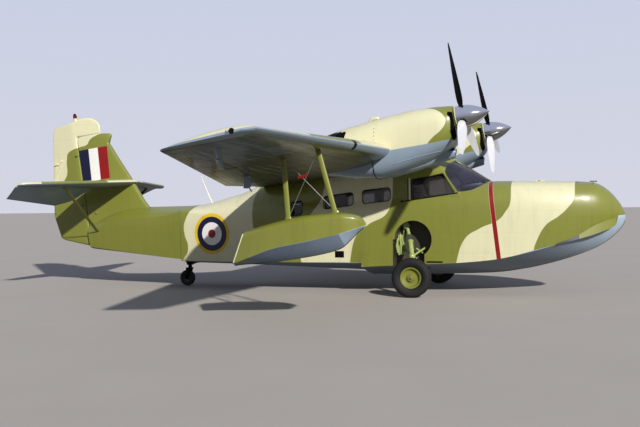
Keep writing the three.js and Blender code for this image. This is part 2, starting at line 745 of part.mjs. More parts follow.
// The opening of the starboard windscreen pane, drawn along X
function screenCut(grow) {
  const g = grow;
  const outline = [[-24 - GAP + g, 1500], [-575 - g, 1500], [-520 - g, 1740 + g], [-470 - g, 1800 + g],
    [-24 - GAP + g, 1930 + g]];
  const sections = [2150, 3100].map((x) => outline.map(([y, z]) => [x, y, z]));
  return loft(sections).subtract(hullSolid.translate([0, 0, grow ? GAP : 0]));
}

const splitZ = (x) => 1635 + 0.135 * (x - 1250);
const belowSplit = plate([[AFT_X - 60, FLOOR_Z], [BOW_X, FLOOR_Z], [BOW_X, splitZ(BOW_X)],
  [AFT_X - 60, splitZ(AFT_X - 60)]], -900, 900);
const aboveSplit = plate([[AFT_X, splitZ(AFT_X) + GAP], [BOW_X, splitZ(BOW_X) + GAP],
  [BOW_X, 2400], [AFT_X, 2400]], -900, 900);

const DOOR = { x0: -940, x1: -370, z0: 830, z1: 1320, pinY: 646 };
const HATCH = { x0: 3560, x1: 4080, halfY: 235, pinZ: 1636 };

// Assembly

const wingStarboardCut = wingSolid(GAP, -5);
const wingCut = wingStarboardCut.add(mirrored(wingStarboardCut));
const wells = [-1, 1].map((side) => {
  const [from, to] = [WELL.inY, WELL.outY].map((depth) => [WELL.x, side * depth, WELL.z]);
  const round = cylinder(from, to, WELL.r, WELL.r, 24);
  const y = [side * WELL.inY, side * (WELL.outY + 60)].sort((a, b) => a - b);
  return round.add(box(1489, 1957, y[0], y[1], 300, WELL.z));
});
const outer = hullSolid.add(cabinShell);
const wellHousing = box(WELL.x - 310, WELL.x + 310, -800, -WELL.inY + 20, 500, 1120);
const room = roomSolid(0).subtract(wellHousing).subtract(mirrored(wellHousing));
const shell = outer.subtract(room).subtract(wingCut).subtract(wells[0]).subtract(wells[1]);
const starboardHalf = box(-6000, 6000, -900, -GAP / 2, 0, 3000);

// Hull

function addHull() {
  const bow = outer.intersect(box(BOW_X + GAP, 4800, -900, 900, 0, 1800));
  const pocket = box(HATCH.x0 + 30, HATCH.x1 - 30, -HATCH.halfY + 25, HATCH.halfY - 25, 1180, 1800);
  const rebate = box(HATCH.x0 - 6, HATCH.x1 + 6, -HATCH.halfY - 6, HATCH.halfY + 6, 1560, 1800);
  const lidPin = [HATCH.x0 - 3, 0, HATCH.pinZ];
  const lidLeaf = [HATCH.x0 - 3, HATCH.x0 + 60, 0, 0, 1590, HATCH.pinZ];
  const deckLeaf = [HATCH.x0 - 60, HATCH.x0 - 3, 0, 0, 1590, HATCH.pinZ];
  let frame = bow.subtract(pocket).subtract(rebate);
  let lid = outer.intersect(box(HATCH.x0, HATCH.x1, -HATCH.halfY, HATCH.halfY, 1560 + GAP, 1800));
  for (const y of [-150, 110]) {
    lid = lid.add(knuckle(lidPin, 'y', lidLeaf, y, 40));
    frame = frame.add(knuckle(lidPin, 'y', deckLeaf, y + 40 + GAP, 40));
  }
  add('bow_hull', frame, PAINT.olive, FINISH.paint);
  add('bow_hatch', lid, PAINT.olive, FINISH.paint);

  const cabinLength = box(AFT_X, BOW_X, -900, 900, 0, 3000);
  const { x0, x1, halfY, top } = BAGGAGE_FLOOR;
  const bottom = outer.intersect(box(AFT_X, BOW_X, -900, 900, 0, FLOOR_Z - GAP))
    .add(box(x0, x1, -halfY, halfY, FLOOR_Z - 20, top));
  add('hull_bottom', bottom.subtract(wells[0]).subtract(wells[1]), PAINT.sky, FINISH.paint);

  const walls = shell.intersect(cabinLength).intersect(belowSplit);
  let starboard = walls.intersect(starboardHalf);
  let port = walls.subtract(box(-6000, 6000, -900, GAP / 2, 0, 3000));
  const doorWay = box(DOOR.x0 - 6, DOOR.x1 + 6, 300, 800, DOOR.z0 - 6, DOOR.z1 + 6);
  let door = port.intersect(box(DOOR.x0, DOOR.x1, 300, 800, DOOR.z0, DOOR.z1));
  port = port.subtract(doorWay);
  const doorPin = [DOOR.x1 + 3, DOOR.pinY, 0];
  for (const z of [900, 1150]) {
    door = door.add(knuckle(doorPin, 'z', [DOOR.x1 - 60, DOOR.x1 + 3, 600, DOOR.pinY], z, 40));
    port = port.add(knuckle(doorPin, 'z', [DOOR.x1 + 3, DOOR.x1 + 60, 600, DOOR.pinY], z + 40 + GAP, 40));
  }
  for (const cut of windowCuts(0)) {
    starboard = starboard.subtract(cut);
    port = port.subtract(mirrored(cut));
  }
  const screen = screenCut(0);
  add('cabin_side_starboard', starboard.subtract(screen), PAINT.olive, FINISH.paint);
  add('cabin_side_port', port.subtract(mirrored(screen)), PAINT.olive, FINISH.paint);
  add('entry_door', door, PAINT.olive, FINISH.paint);

  const roof = shell.intersect(cabinLength).intersect(aboveSplit);
  add('cabin_roof', roof.subtract(screen).subtract(mirrored(screen)), PAINT.olive, FINISH.paint);
  addPair('windscreen', shell.intersect(screenCut(-GAP)), PAINT.glass, FINISH.glass);

  const rear = RUDDER_NOSE + RUN + 1;
  const behind = plate([[rudderX(300) + rear, 300], [rudderX(1600) + rear, 1600], [-5000, 1600],
    [-5000, 300]], -300, 300);
  const { swivelX } = TAILWHEEL;
  const socket = cylinder([swivelX, 0, 300], [swivelX, 0, POST.top + GAP], POST.r + GAP);
  const tail = outer.intersect(box(-4800, AFT_X - GAP, -900, 900, 0, 3000)).subtract(wingCut);
  const slot = finSolid(GAP).add(finSolid(GAP).translate([GAP, 0, -GAP]));
  add('tail_hull', tail.subtract(slot).subtract(behind).subtract(socket), PAINT.olive, FINISH.paint);
}

// Knuckles of a hinge: one on the moving piece and one on its frame, end to end
function knuckle(axisPoint, along, reach, start, length) {
  const [x, y, z] = axisPoint;
  const at = (d) => (along === 'z' ? [x, y, d] : [x, d, z]);
  const barrel = cylinder(at(start), at(start + length), KNUCKLE_R, KNUCKLE_R, 8);
  const [x0, x1, y0, y1, z0, z1] = reach;
  const end = start + length;
  const leaf = along === 'z' ? box(x0, x1, y0, y1, start, end) : box(x0, x1, start, end, z0, z1);
  return barrel.add(leaf);
}

function addWings() {
  const whole = wingSolid(0, GAP);
  const wing = whole.subtract(controlBay(FLAP)).subtract(controlBay(AILERON));
  addPair('wing', wing, PAINT.olive, FINISH.paint);
  for (const [name, part] of [['flap', FLAP], ['aileron', AILERON]]) {
    addPair(name, controlSurface(part).add(hingePins(part)), PAINT.olive, FINISH.paint);
  }
}

// Pins at both ends of a control surface, on its hinge line. The line is slanted, so their
// square ends stand further from the walls of the bay.
function hingePins(part) {
  const end = GAP + PIN_R * 0.21;
  const ys = [part.y0 + end, part.y0 + 60, part.y1 - 60, part.y1 - end];
  const [a, b, c, d] = ys.map((y) => hingePoint(part, y));
  return cylinder(a, b, PIN_R, PIN_R, 8).add(cylinder(c, d, PIN_R, PIN_R, 8));
}

function addEngines() {
  const nacelle = nacelleSolid(wingCut);
  addPair('nacelle', nacelle, PAINT.cream, FINISH.paint);
  const block = box(FIREWALL_X + GAP, 2380, -ENGINE_Y - 300, -ENGINE_Y + 300, 2130, 2440);
  const front = -PROP.tail - GAP;
  const shaft = new THREE.CylinderGeometry(38, 38, 230, 12).rotateZ(Math.PI / 2).translate(front - 115, 0, 0);
  addPair('engine', block.add(onThrustLine(shaft)), PAINT.engine, FINISH.metal);
  addPropeller('starboard', -ENGINE_Y);
  addPropeller('port', ENGINE_Y);
}

function addTail() {
  const fin = finSolid();
  const across = (y) => [TAIL.hingeX, y, TAIL.hingeZ];
  const tubeHole = cylinder(across(-200), across(200), TUBE_R + 1, TUBE_R + 1, 24);
  add('fin', fin.subtract(tubeHole), PAINT.olive, FINISH.paint);
  add('rudder', rudderSolid(), PAINT.olive, FINISH.paint);
  const stabiliser = tailplaneSolid().subtract(finSolid(GAP));
  addPair('tailplane', stabiliser, PAINT.olive, FINISH.paint);
  addPair('elevator', elevatorSolid(), PAINT.olive, FINISH.paint);
  const inner = ELEVATOR.innerY - GAP;
  add('elevator_torque_tube', cylinder(across(-inner), across(inner), TUBE_R), PAINT.metal, FINISH.metal);
  const strut = loft([[-3650, -1300, 1640], [-3790, -60, 862]].map(
    ([x, y, z]) => [[24, 0], [8, 9], [-24, 0], [8, -9]].map(([dx, dy]) => [x + dx, y + dy, z]),
  ));
  const seated = strut.subtract(tailplaneSolid()).subtract(hullSolid).translate([0, -GAP, -GAP]);
  addPair('tail_strut', largest(seated), PAINT.olive, FINISH.paint);
}

function addFloats() {
  addPair('float', floatSolid(), PAINT.olive, FINISH.paint);
  for (const { name, topX, footX } of FLOAT_STRUTS) {
    const top = [topX, -FLOAT_Y, 2000];
    const foot = [footX, -FLOAT_Y, floatDeckZ(footX) - 30];
    const strut = strutBetween(top, foot).subtract(wingSolid(0)).translate([0, 0, -GAP])
      .subtract(floatSolid().translate([0, 0, GAP]));
    addPair(`float_strut_${name}`, largest(strut), PAINT.olive, FINISH.paint);
  }
}

function addWheels() {
  addPair('gear_leg', gearLeg(), PAINT.metal, FINISH.metal);
  const hub = wheelHub(WHEEL.hubR - GAP, WHEEL.width).translate(WHEEL.x, -WHEEL.y, WHEEL.radius);
  const tyre = tyreRing(WHEEL.radius, WHEEL.hubR, WHEEL.width).translate(WHEEL.x, -WHEEL.y, WHEEL.radius);
  addPair('wheel_hub', toManifold(hub), PAINT.olive, FINISH.paint);
  addPair('tyre', toManifold(tyre), PAINT.rubber, FINISH.rubber);

  const { x, radius, width, swivelX } = TAILWHEEL;
  const post = cylinder([swivelX, 0, POST.foot], [swivelX, 0, POST.top], POST.r);
  add('tailwheel_post', post, PAINT.metal, FINISH.metal);
  const armY = width / 2 + RUN;
  let fork = cylinder([swivelX, 0, 290], [swivelX, 0, POST.foot - GAP], 34)
    .add(box(swivelX - 52, swivelX + 34, -armY - 12, armY + 12, 276, 300));
  for (const side of [-1, 1]) {
    const [y0, y1] = [side * armY, side * (armY + 12)].sort((a, b) => a - b);
    fork = fork.add(plate([[swivelX - 50, 290], [swivelX + 30, 290], [x + 24, 118], [x - 24, 118]], y0, y1))
      .add(cylinder([x, y0, radius], [x, y1, radius], 26));
  }
  fork = fork.add(cylinder([x, -armY, radius], [x, armY, radius], 10));
  add('tailwheel_fork', fork, PAINT.metal, FINISH.metal);
  const wheel = toManifold(tyreRing(radius, 10.5, width).translate(x, 0, radius));
  add('tailwheel', wheel, PAINT.rubber, FINISH.rubber);
}

function addCabinFittings() {
  const strip = roomSolid(GAP).subtract(roomSolid(8)).intersect(box(-200, 2290, -900, 0, 1000, 1800));
  const band = plate([[-140, 1130], [2285, 1440], [2285, 1730], [-140, 1400]], -900, -300);
  addPair('side_glass', strip.intersect(band), PAINT.glass, FINISH.glass);

  const panel = roomSolid(GAP).intersect(box(2480, 2520, -900, 900, 1180, 1540));
  add('instrument_panel', panel, PAINT.black, FINISH.soft);

  let column = cylinder([2300, 0, FLOOR_Z + GAP], [2300, 0, FLOOR_Z + 30], 50)
    .add(cylinder([2300, 0, FLOOR_Z + 25], [2200, 0, 1150], 22))
    .add(cylinder([2200, -240, 1150], [2200, 240, 1150], 16));
  for (const y of [-240, 240]) {
    const ring = new THREE.TorusGeometry(105, 11, 5, 12).rotateY(Math.PI / 2).translate(2170, y, 1150);
    column = column.add(toManifold(ring)).add(box(2160, 2204, y - 14, y + 14, 1136, 1164))
      .add(cylinder([2170, y, 1048], [2170, y, 1252], 9));
  }
  add('control_column', column, PAINT.black, FINISH.soft);

  const foot = FLOOR_Z + GAP;
  const seat = plate([[1480, foot], [1860, foot], [1900, 1010], [1560, 990], [1500, 1500],
    [1400, 1490], [1450, 960]], -395, -35);
  addPair('front_seat', seat, PAINT.leather, FINISH.soft);
  const bench = plate([[330, foot], [780, foot], [800, 960], [400, 940], [330, 1380], [240, 1370],
    [300, 900]], -540, 540);
  add('rear_bench', bench, PAINT.leather, FINISH.soft);
}

aircraft.name = 'flying_boat';
addHull();
addWings();
addEngines();
addTail();
addFloats();
addWheels();
addCabinFittings();
export default aircraft;
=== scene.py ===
import json
from math import atan2, ceil, copysign, cos, hypot, pi, radians, sin, sqrt, tan
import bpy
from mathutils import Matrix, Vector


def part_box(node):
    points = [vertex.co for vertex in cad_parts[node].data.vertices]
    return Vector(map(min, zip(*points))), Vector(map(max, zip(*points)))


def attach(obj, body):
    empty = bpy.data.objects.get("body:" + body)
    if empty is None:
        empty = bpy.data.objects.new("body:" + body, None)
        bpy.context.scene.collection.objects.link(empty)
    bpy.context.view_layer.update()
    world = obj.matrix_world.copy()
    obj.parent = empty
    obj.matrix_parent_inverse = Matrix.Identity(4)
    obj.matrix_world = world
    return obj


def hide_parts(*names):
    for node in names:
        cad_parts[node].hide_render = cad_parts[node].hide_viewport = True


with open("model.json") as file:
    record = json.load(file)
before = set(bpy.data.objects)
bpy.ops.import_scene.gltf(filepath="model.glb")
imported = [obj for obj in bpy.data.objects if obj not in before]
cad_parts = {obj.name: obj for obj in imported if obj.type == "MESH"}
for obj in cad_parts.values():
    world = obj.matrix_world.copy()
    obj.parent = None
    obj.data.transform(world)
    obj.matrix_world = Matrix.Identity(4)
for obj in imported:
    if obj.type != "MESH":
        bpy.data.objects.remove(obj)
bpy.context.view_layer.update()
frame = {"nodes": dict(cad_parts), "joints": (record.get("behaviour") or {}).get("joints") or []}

from types import SimpleNamespace as Sizes

import bpy
import numpy as np
from mathutils import Matrix, Vector
from mathutils.bvhtree import BVHTree
from mathutils.geometry import delaunay_2d_cdt

bl_info = {
    "name": "Flying boat",
    "version": (1, 0, 0),
    "blender": (4, 5, 0),
    "location": "3D View > Sidebar > Flying boat",
    "description": "Builds the skins, fittings and finishes of a parked amphibious flying boat",
    "category": "Add Mesh",
}

ROOT = "airframe"
JOINTS = {joint["name"]: joint for joint in frame["joints"]}
SIDES = {"starboard": -1, "port": 1}

# Shapes: pairs of an array of points and a list of faces, in metres. +X bow, +Y port, +Z up.


def outward(verts, faces):
    """The same shape with its faces pointing out"""
    volume = 0.0
    for face in faces:
        a = verts[face[0]]
        for j in range(1, len(face) - 1):
            volume += a @ np.cross(verts[face[j]], verts[face[j + 1]])
    return (verts, faces) if volume >= 0 else (verts, [face[::-1] for face in faces])


def join(*shapes):
    verts, faces, base = [], [], 0
    for points, polygons in shapes:
        verts.append(points)
        faces += [tuple(i + base for i in face) for face in polygons]
        base += len(points)
    return np.vstack(verts), faces


def mirrored(shape):
    verts, faces = shape
    return verts * (1, -1, 1), [face[::-1] for face in faces]


def both_sides(shape):
    return join(shape, mirrored(shape))


def on_side(shape, side):
    """A shape drawn to starboard, on the side that is asked for"""
    return shape if SIDES[side] < 0 else mirrored(shape)


def moved(shape, matrix):
    verts, faces = shape
    turn = np.array(matrix.to_3x3())
    return verts @ turn.T + np.array(matrix.translation), faces


def shifted(shape, x=0.0, y=0.0, z=0.0):
    return shape[0] + np.array((x, y, z)), shape[1]


def loft(sections, start=None, end=None):
    """Skins a row of closed sections. Each end is a fan from its middle or from a given point."""
    sections = np.asarray(sections, float)
    rows, n, _ = sections.shape
    verts = list(sections.reshape(-1, 3))
    faces = []
    for s in range(rows - 1):
        for i in range(n):
            j = (i + 1) % n
            faces.append((s * n + i, s * n + j, (s + 1) * n + j, (s + 1) * n + i))
    for s, given in ((0, start), (rows - 1, end)):
        middle = len(verts)
        verts.append(sections[s].mean(0) if given is None else np.asarray(given, float))
        for i in range(n):
            a, b = s * n + i, s * n + (i + 1) % n
            faces.append((middle, b, a) if s == 0 else (middle, a, b))
    return outward(np.array(verts), faces)


def box(x0, x1, y0, y1, z0, z1):
    lower = [(x0, y0, z0), (x1, y0, z0), (x1, y1, z0), (x0, y1, z0)]
    upper = [(x, y, z1) for x, y, _ in lower]
    sides = [(i, (i + 1) % 4, (i + 1) % 4 + 4, i + 4) for i in range(4)]
    return np.array(lower + upper, float), [(3, 2, 1, 0), (4, 5, 6, 7)] + sides


def prism(outline, y0, y1):
    """A solid from an outline in the X-Z plane, between two values of y"""
    n = len(outline)
    verts = np.array([(x, y, z) for y in (y0, y1) for x, z in outline], float)
    sides = [(i, (i + 1) % n, (i + 1) % n + n, i + n) for i in range(n)]
    return outward(verts, [tuple(range(n))[::-1], tuple(range(n, 2 * n))] + sides)


def frame_along(direction):
    """Two unit vectors across a direction"""
    d = Vector(direction).normalized()
    side = d.cross(Vector((0, 0, 1)) if abs(d.z) < 0.9 else Vector((0, 1, 0))).normalized()
    return np.array(side), np.array(d.cross(side))


def tube(path, radius, sides=10, flat=1.0, across=None):
    """A round bar along a path. radius is one number or one for each point."""
    path = np.asarray(path, float)
    radii = np.broadcast_to(np.asarray(radius, float), (len(path),))
    along = np.gradient(path, axis=0)
    u, v = frame_along(along[0]) if across is None else (np.array(across, float), None)
    sections = []
    for point, direction, r in zip(path, along, radii):
        d = direction / np.linalg.norm(direction)
        u = u - d * (u @ d)
        u = u / np.linalg.norm(u)
        v = np.cross(d, u)
        angles = np.arange(sides) * 2 * pi / sides
        sections.append([point + r * (cos(a) * u + flat * sin(a) * v) for a in angles])
    return loft(sections, path[0], path[-1])


def bar(a, b, r0, r1=None, sides=14):
    return tube([a, b], [r0, r0 if r1 is None else r1], sides)


def lathe(profile, sides=48, matrix=None):
    """Turns a profile of (radius, height) about +X; it starts and ends on the axis"""
    angles = np.arange(sides) * 2 * pi / sides
    sections = [[(h, r * cos(a), r * sin(a)) for a in angles] for r, h in profile[1:-1]]
    shape = loft(sections, (profile[0][1], 0, 0), (profile[-1][1], 0, 0))
    return moved(shape, matrix) if matrix else shape


def hoop(verts, rows):
    """A closed row of closed sections, without ends"""
    n = len(verts) // rows
    faces = []
    for k in range(rows):
        for i in range(n):
            a, b = k * n, ((k + 1) % rows) * n
            faces.append((a + i, a + (i + 1) % n, b + (i + 1) % n, b + i))
    return outward(np.array(verts, float), faces)


def ring(profile, sides=48, matrix=None):
    """Turns a closed profile of (radius, height) about +X"""
    verts = []
    for k in range(sides):
        a = k * 2 * pi / sides
        verts += [(h, r * cos(a), r * sin(a)) for r, h in profile]
    shape = hoop(verts, sides)
    return moved(shape, matrix) if matrix else shape


def ball(centre, radius, sides=16):
    profile = [(sin(a) * radius, -cos(a) * radius) for a in np.linspace(0, pi, sides // 2 + 1)]
    return moved(lathe(profile, sides), Matrix.Translation(centre))


def axis_matrix(centre, direction):
    """Puts +X on a direction, at a centre"""
    x = np.array(Vector(direction).normalized())
    y, z = frame_along(x)
    turn = Matrix((x, y, z)).transposed()
    if turn.determinant() < 0:
        turn = Matrix((x, z, y)).transposed()
    return Matrix.Translation(centre) @ turn.to_4x4()


def rounded(outline, radius, steps=6):
    """A closed outline with an arc at each corner"""
    points = [np.array(p, float) for p in outline]
    out = []
    for i, corner in enumerate(points):
        before, after = points[i - 1] - corner, points[(i + 1) % len(points)] - corner
        r = min(radius, 0.45 * np.linalg.norm(before), 0.45 * np.linalg.norm(after))
        a = corner + before / np.linalg.norm(before) * r
        b = corner + after / np.linalg.norm(after) * r
        for t in np.linspace(0, 1, steps + 1):
            out.append((1 - t) ** 2 * a + 2 * t * (1 - t) * corner + t * t * b)
    return [tuple(p) for p in out]


def smooth_through(at, rows, query):
    """Smooth curves through the columns of rows, with no overshoot"""
    step = np.diff(at)[:, None]
    slope = np.diff(rows, axis=0) / step
    tangent = np.zeros_like(rows)
    tangent[0], tangent[-1] = slope[0], slope[-1]
    a, b = slope[:-1], slope[1:]
    wa, wb = 2 * step[1:] + step[:-1], step[1:] + 2 * step[:-1]
    safe = np.where(a * b > 0, a * b, 1)
    tangent[1:-1] = np.where(a * b > 0, (wa + wb) * safe / np.where(a * b > 0, wa * b + wb * a, 1), 0)
    k = np.clip(np.searchsorted(at, query, side="right") - 1, 0, len(at) - 2)
    h = step[k]
    t = ((query - at[k]) / h[:, 0])[:, None]
    return ((1 + 2 * t) * (1 - t) ** 2 * rows[k] + t * (1 - t) ** 2 * h * tangent[k]
            + t * t * (3 - 2 * t) * rows[k + 1] + t * t * (t - 1) * h * tangent[k + 1])


def finer(rows, steps):
    """More rows between those of a table, on smooth curves through its columns"""
    rows = np.array(rows, float)
    at = np.concatenate([[0], np.cumsum(np.linalg.norm(np.diff(rows, axis=0), axis=1))])
    query = [np.linspace(a, b, steps, endpoint=False) for a, b in zip(at, at[1:])]
    return smooth_through(at, rows, np.append(np.concatenate(query), at[-1]))


def curve_value(points):
    """A smooth function through (input, output) points"""
    table = np.array(sorted(points), float)
    return lambda x: float(smooth_through(table[:, 0], table[:, 1:], np.clip([x], table[0, 0], table[-1, 0]))[0, 0])


def quarter(steps):
    """Cosines and sines of a quarter turn, exact at its ends"""
    angles = np.linspace(0, pi / 2, steps + 1)
    cosines, sines = np.cos(angles), np.sin(angles)
    cosines[-1] = 0.0
    return list(zip(cosines, sines))


def mirror_ring(half, x_of):
    """Closes a half outline, from bottom to top, with its mirror image"""
    right = [(x_of(y, z), -y, z) for y, z in half]
    left = [(x_of(y, z), y, z) for y, z in half[1:-1][::-1]]
    return right + left


def to_mesh(name, shape):
    mesh = bpy.data.meshes.new(name)
    mesh.from_pydata(shape[0].tolist(), [], shape[1])
    mesh.update()
    return mesh


def to_object(name, shape):
    obj = bpy.data.objects.new(name, to_mesh(name, shape))
    bpy.context.scene.collection.objects.link(obj)
    return obj


def from_mesh(mesh):
    points = np.zeros(len(mesh.vertices) * 3)
    mesh.vertices.foreach_get("co", points)
    return points.reshape(-1, 3), [tuple(p.vertices) for p in mesh.polygons]


def baked(obj):
    """Replaces an object's mesh by what its modifiers make of it"""
    graph = bpy.context.evaluated_depsgraph_get()
    mesh = bpy.data.meshes.new_from_object(obj.evaluated_get(graph), depsgraph=graph)
    obj.modifiers.clear()
    obj.data = mesh
    return obj


def carve(shape, *steps):
    """A shape with other shapes cut off, joined on or intersected, in turn"""
    target = to_object("blank", shape)
    tools = []
    for operation, other in steps:
        tool = to_object("cutter", other)
        tools.append(tool)
        modifier = target.modifiers.new(operation, "BOOLEAN")
        modifier.operation = operation
        modifier.solver = "MANIFOLD"
        modifier.object = tool
    baked(target)
    result = from_mesh(target.data)
    for obj in [target] + tools:
        data = obj.data
        bpy.data.objects.remove(obj)
        bpy.data.meshes.remove(data)
    if not result[1]:
        raise RuntimeError("a cut left nothing over")
    return result


def cut(shape, *others):
    return carve(shape, *[("DIFFERENCE", other) for other in others])


def kept(shape, *others):
    return carve(shape, *[("INTERSECT", other) for other in others])


def face_data(mesh):
    """Centres and normals of a mesh's faces"""
    centres = np.zeros(len(mesh.polygons) * 3)
    normals = np.zeros(len(mesh.polygons) * 3)
    mesh.polygons.foreach_get("center", centres)
    mesh.polygons.foreach_get("normal", normals)
    return centres.reshape(-1, 3), normals.reshape(-1, 3)


def piece(name, shape, finish, body, slot, replaces=(), sharp=32, pick=None, bevel=0.0):
    """A finished piece: smooth but for its sharp edges, riding on a body. finish is one material
    or several, and pick then chooses one for each face from its centres and normals."""
    obj = to_object(name, shape)
    if bevel:
        modifier = obj.modifiers.new("edges", "BEVEL")
        modifier.width, modifier.segments = bevel, 2
        modifier.limit_method, modifier.angle_limit = "ANGLE", radians(40)
        baked(obj)
    mesh = obj.data
    mesh.name = name
    for material in finish if isinstance(finish, (list, tuple)) else [finish]:
        mesh.materials.append(material)
    if pick:
        chosen = pick(*face_data(mesh)).astype(np.int32)
        mesh.polygons.foreach_set("material_index", chosen)
    mesh.shade_smooth()
    mesh.set_sharp_from_angle(angle=radians(sharp))
    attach(obj, body)
    if replaces:
        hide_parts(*replaces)
    return obj


def pair(name, shape, finish, body, slot, replaces=(), **more):
    """A piece drawn to starboard and its mirror image. Its names get the side in front, and a
    star in the body's name stands for it."""
    for side in SIDES:
        piece(f"{side}_{name}", on_side(shape, side), finish, body.replace("*", side), slot,
              [f"{side}_{node}" for node in replaces], **more)


def refinish(node, finish):
    """Gives a node of the frame, which stays in view, the look of its material"""
    materials = frame["nodes"][node].data.materials
    materials.clear()
    materials.append(finish)


# Plates of changing thickness

def dense(outline, step):
    """An outline with points no further apart than step"""
    points = [np.array(p, float) for p in outline]
    out = []
    for a, b in zip(points, points[1:] + points[:1]):
        n = max(1, int(ceil(np.linalg.norm(b - a) / step)))
        out += [a + (b - a) * k / n for k in range(n)]
    return np.array(out)


def edge_distance(points, outline):
    """How far each point lies from a closed outline"""
    a, b = outline, np.roll(outline, -1, 0)
    ab = b - a
    size = (ab ** 2).sum(1)
    ap = points[:, None, :] - a[None]
    t = np.clip((ap * ab).sum(2) / size, 0, 1)
    return np.sqrt(((ap - t[..., None] * ab) ** 2).sum(2).min(1))


def inside(points, outline):
    a, b = outline, np.roll(outline, -1, 0)
    x, y = points[:, None, 0], points[:, None, 1]
    crosses = (a[:, 1] > y) != (b[:, 1] > y)
    with np.errstate(divide="ignore", invalid="ignore"):
        at = (b[:, 0] - a[:, 0]) * (y - a[:, 1]) / (b[:, 1] - a[:, 1]) + a[:, 0]
    return (crosses & (x < at)).sum(1) % 2 == 1


def plate_skin(outline, half, rounding, grid=0.05, rings=4):
    """A closed skin in the X-Z plane. half gives half the thickness at (x, z), and rounding is
    how far in from the outline the skin reaches it."""
    edge = dense(outline, grid * 0.7)
    area = (edge[:, 0] * np.roll(edge[:, 1], -1) - edge[:, 1] * np.roll(edge[:, 0], -1)).sum()
    edge = edge if area > 0 else edge[::-1]
    tangent = np.roll(edge, -1, 0) - np.roll(edge, 1, 0)
    tangent /= np.linalg.norm(tangent, axis=1)[:, None]
    inward = np.stack([-tangent[:, 1], tangent[:, 0]], 1)
    points = [edge]
    for k in range(1, rings + 1):
        depth = rounding * (1 - cos(k / rings * pi / 2))
        offset = edge + inward * depth
        points.append(offset[(edge_distance(offset, edge) > depth * 0.93) & inside(offset, edge)])
    low, high = edge.min(0), edge.max(0)
    across, up = np.meshgrid(np.arange(low[0], high[0], grid), np.arange(low[1], high[1], grid))
    field = np.stack([across.ravel(), up.ravel()], 1)
    field = field[inside(field, edge)]
    points.append(field[edge_distance(field, edge) > rounding + grid * 0.3])
    every = [Vector(p) for p in np.vstack(points)]
    found = delaunay_2d_cdt(every, [], [list(range(len(edge)))], 1, 1e-7)
    flat, faces = np.array([tuple(p) for p in found[0]]), found[2]
    depth = edge_distance(flat, edge)
    share = np.sqrt(1 - (1 - np.clip(depth / rounding, 0, 1)) ** 2)
    height = np.array([half(x, z) for x, z in flat]) * share
    n = len(flat)
    on_edge = depth < 1e-6
    verts = [(x, -h, z) for (x, z), h in zip(flat, height)] + [(x, h, z) for (x, z), h in zip(flat, height)]
    other = [i if on_edge[i] else i + n for i in range(n)]
    skins = [tuple(f) for f in faces] + [tuple(other[i] for i in f)[::-1] for f in faces]
    used = sorted({i for f in skins for i in f})
    place = {i: k for k, i in enumerate(used)}
    return outward(np.array([verts[i] for i in used]), [tuple(place[i] for i in f) for f in skins])


# Nodes

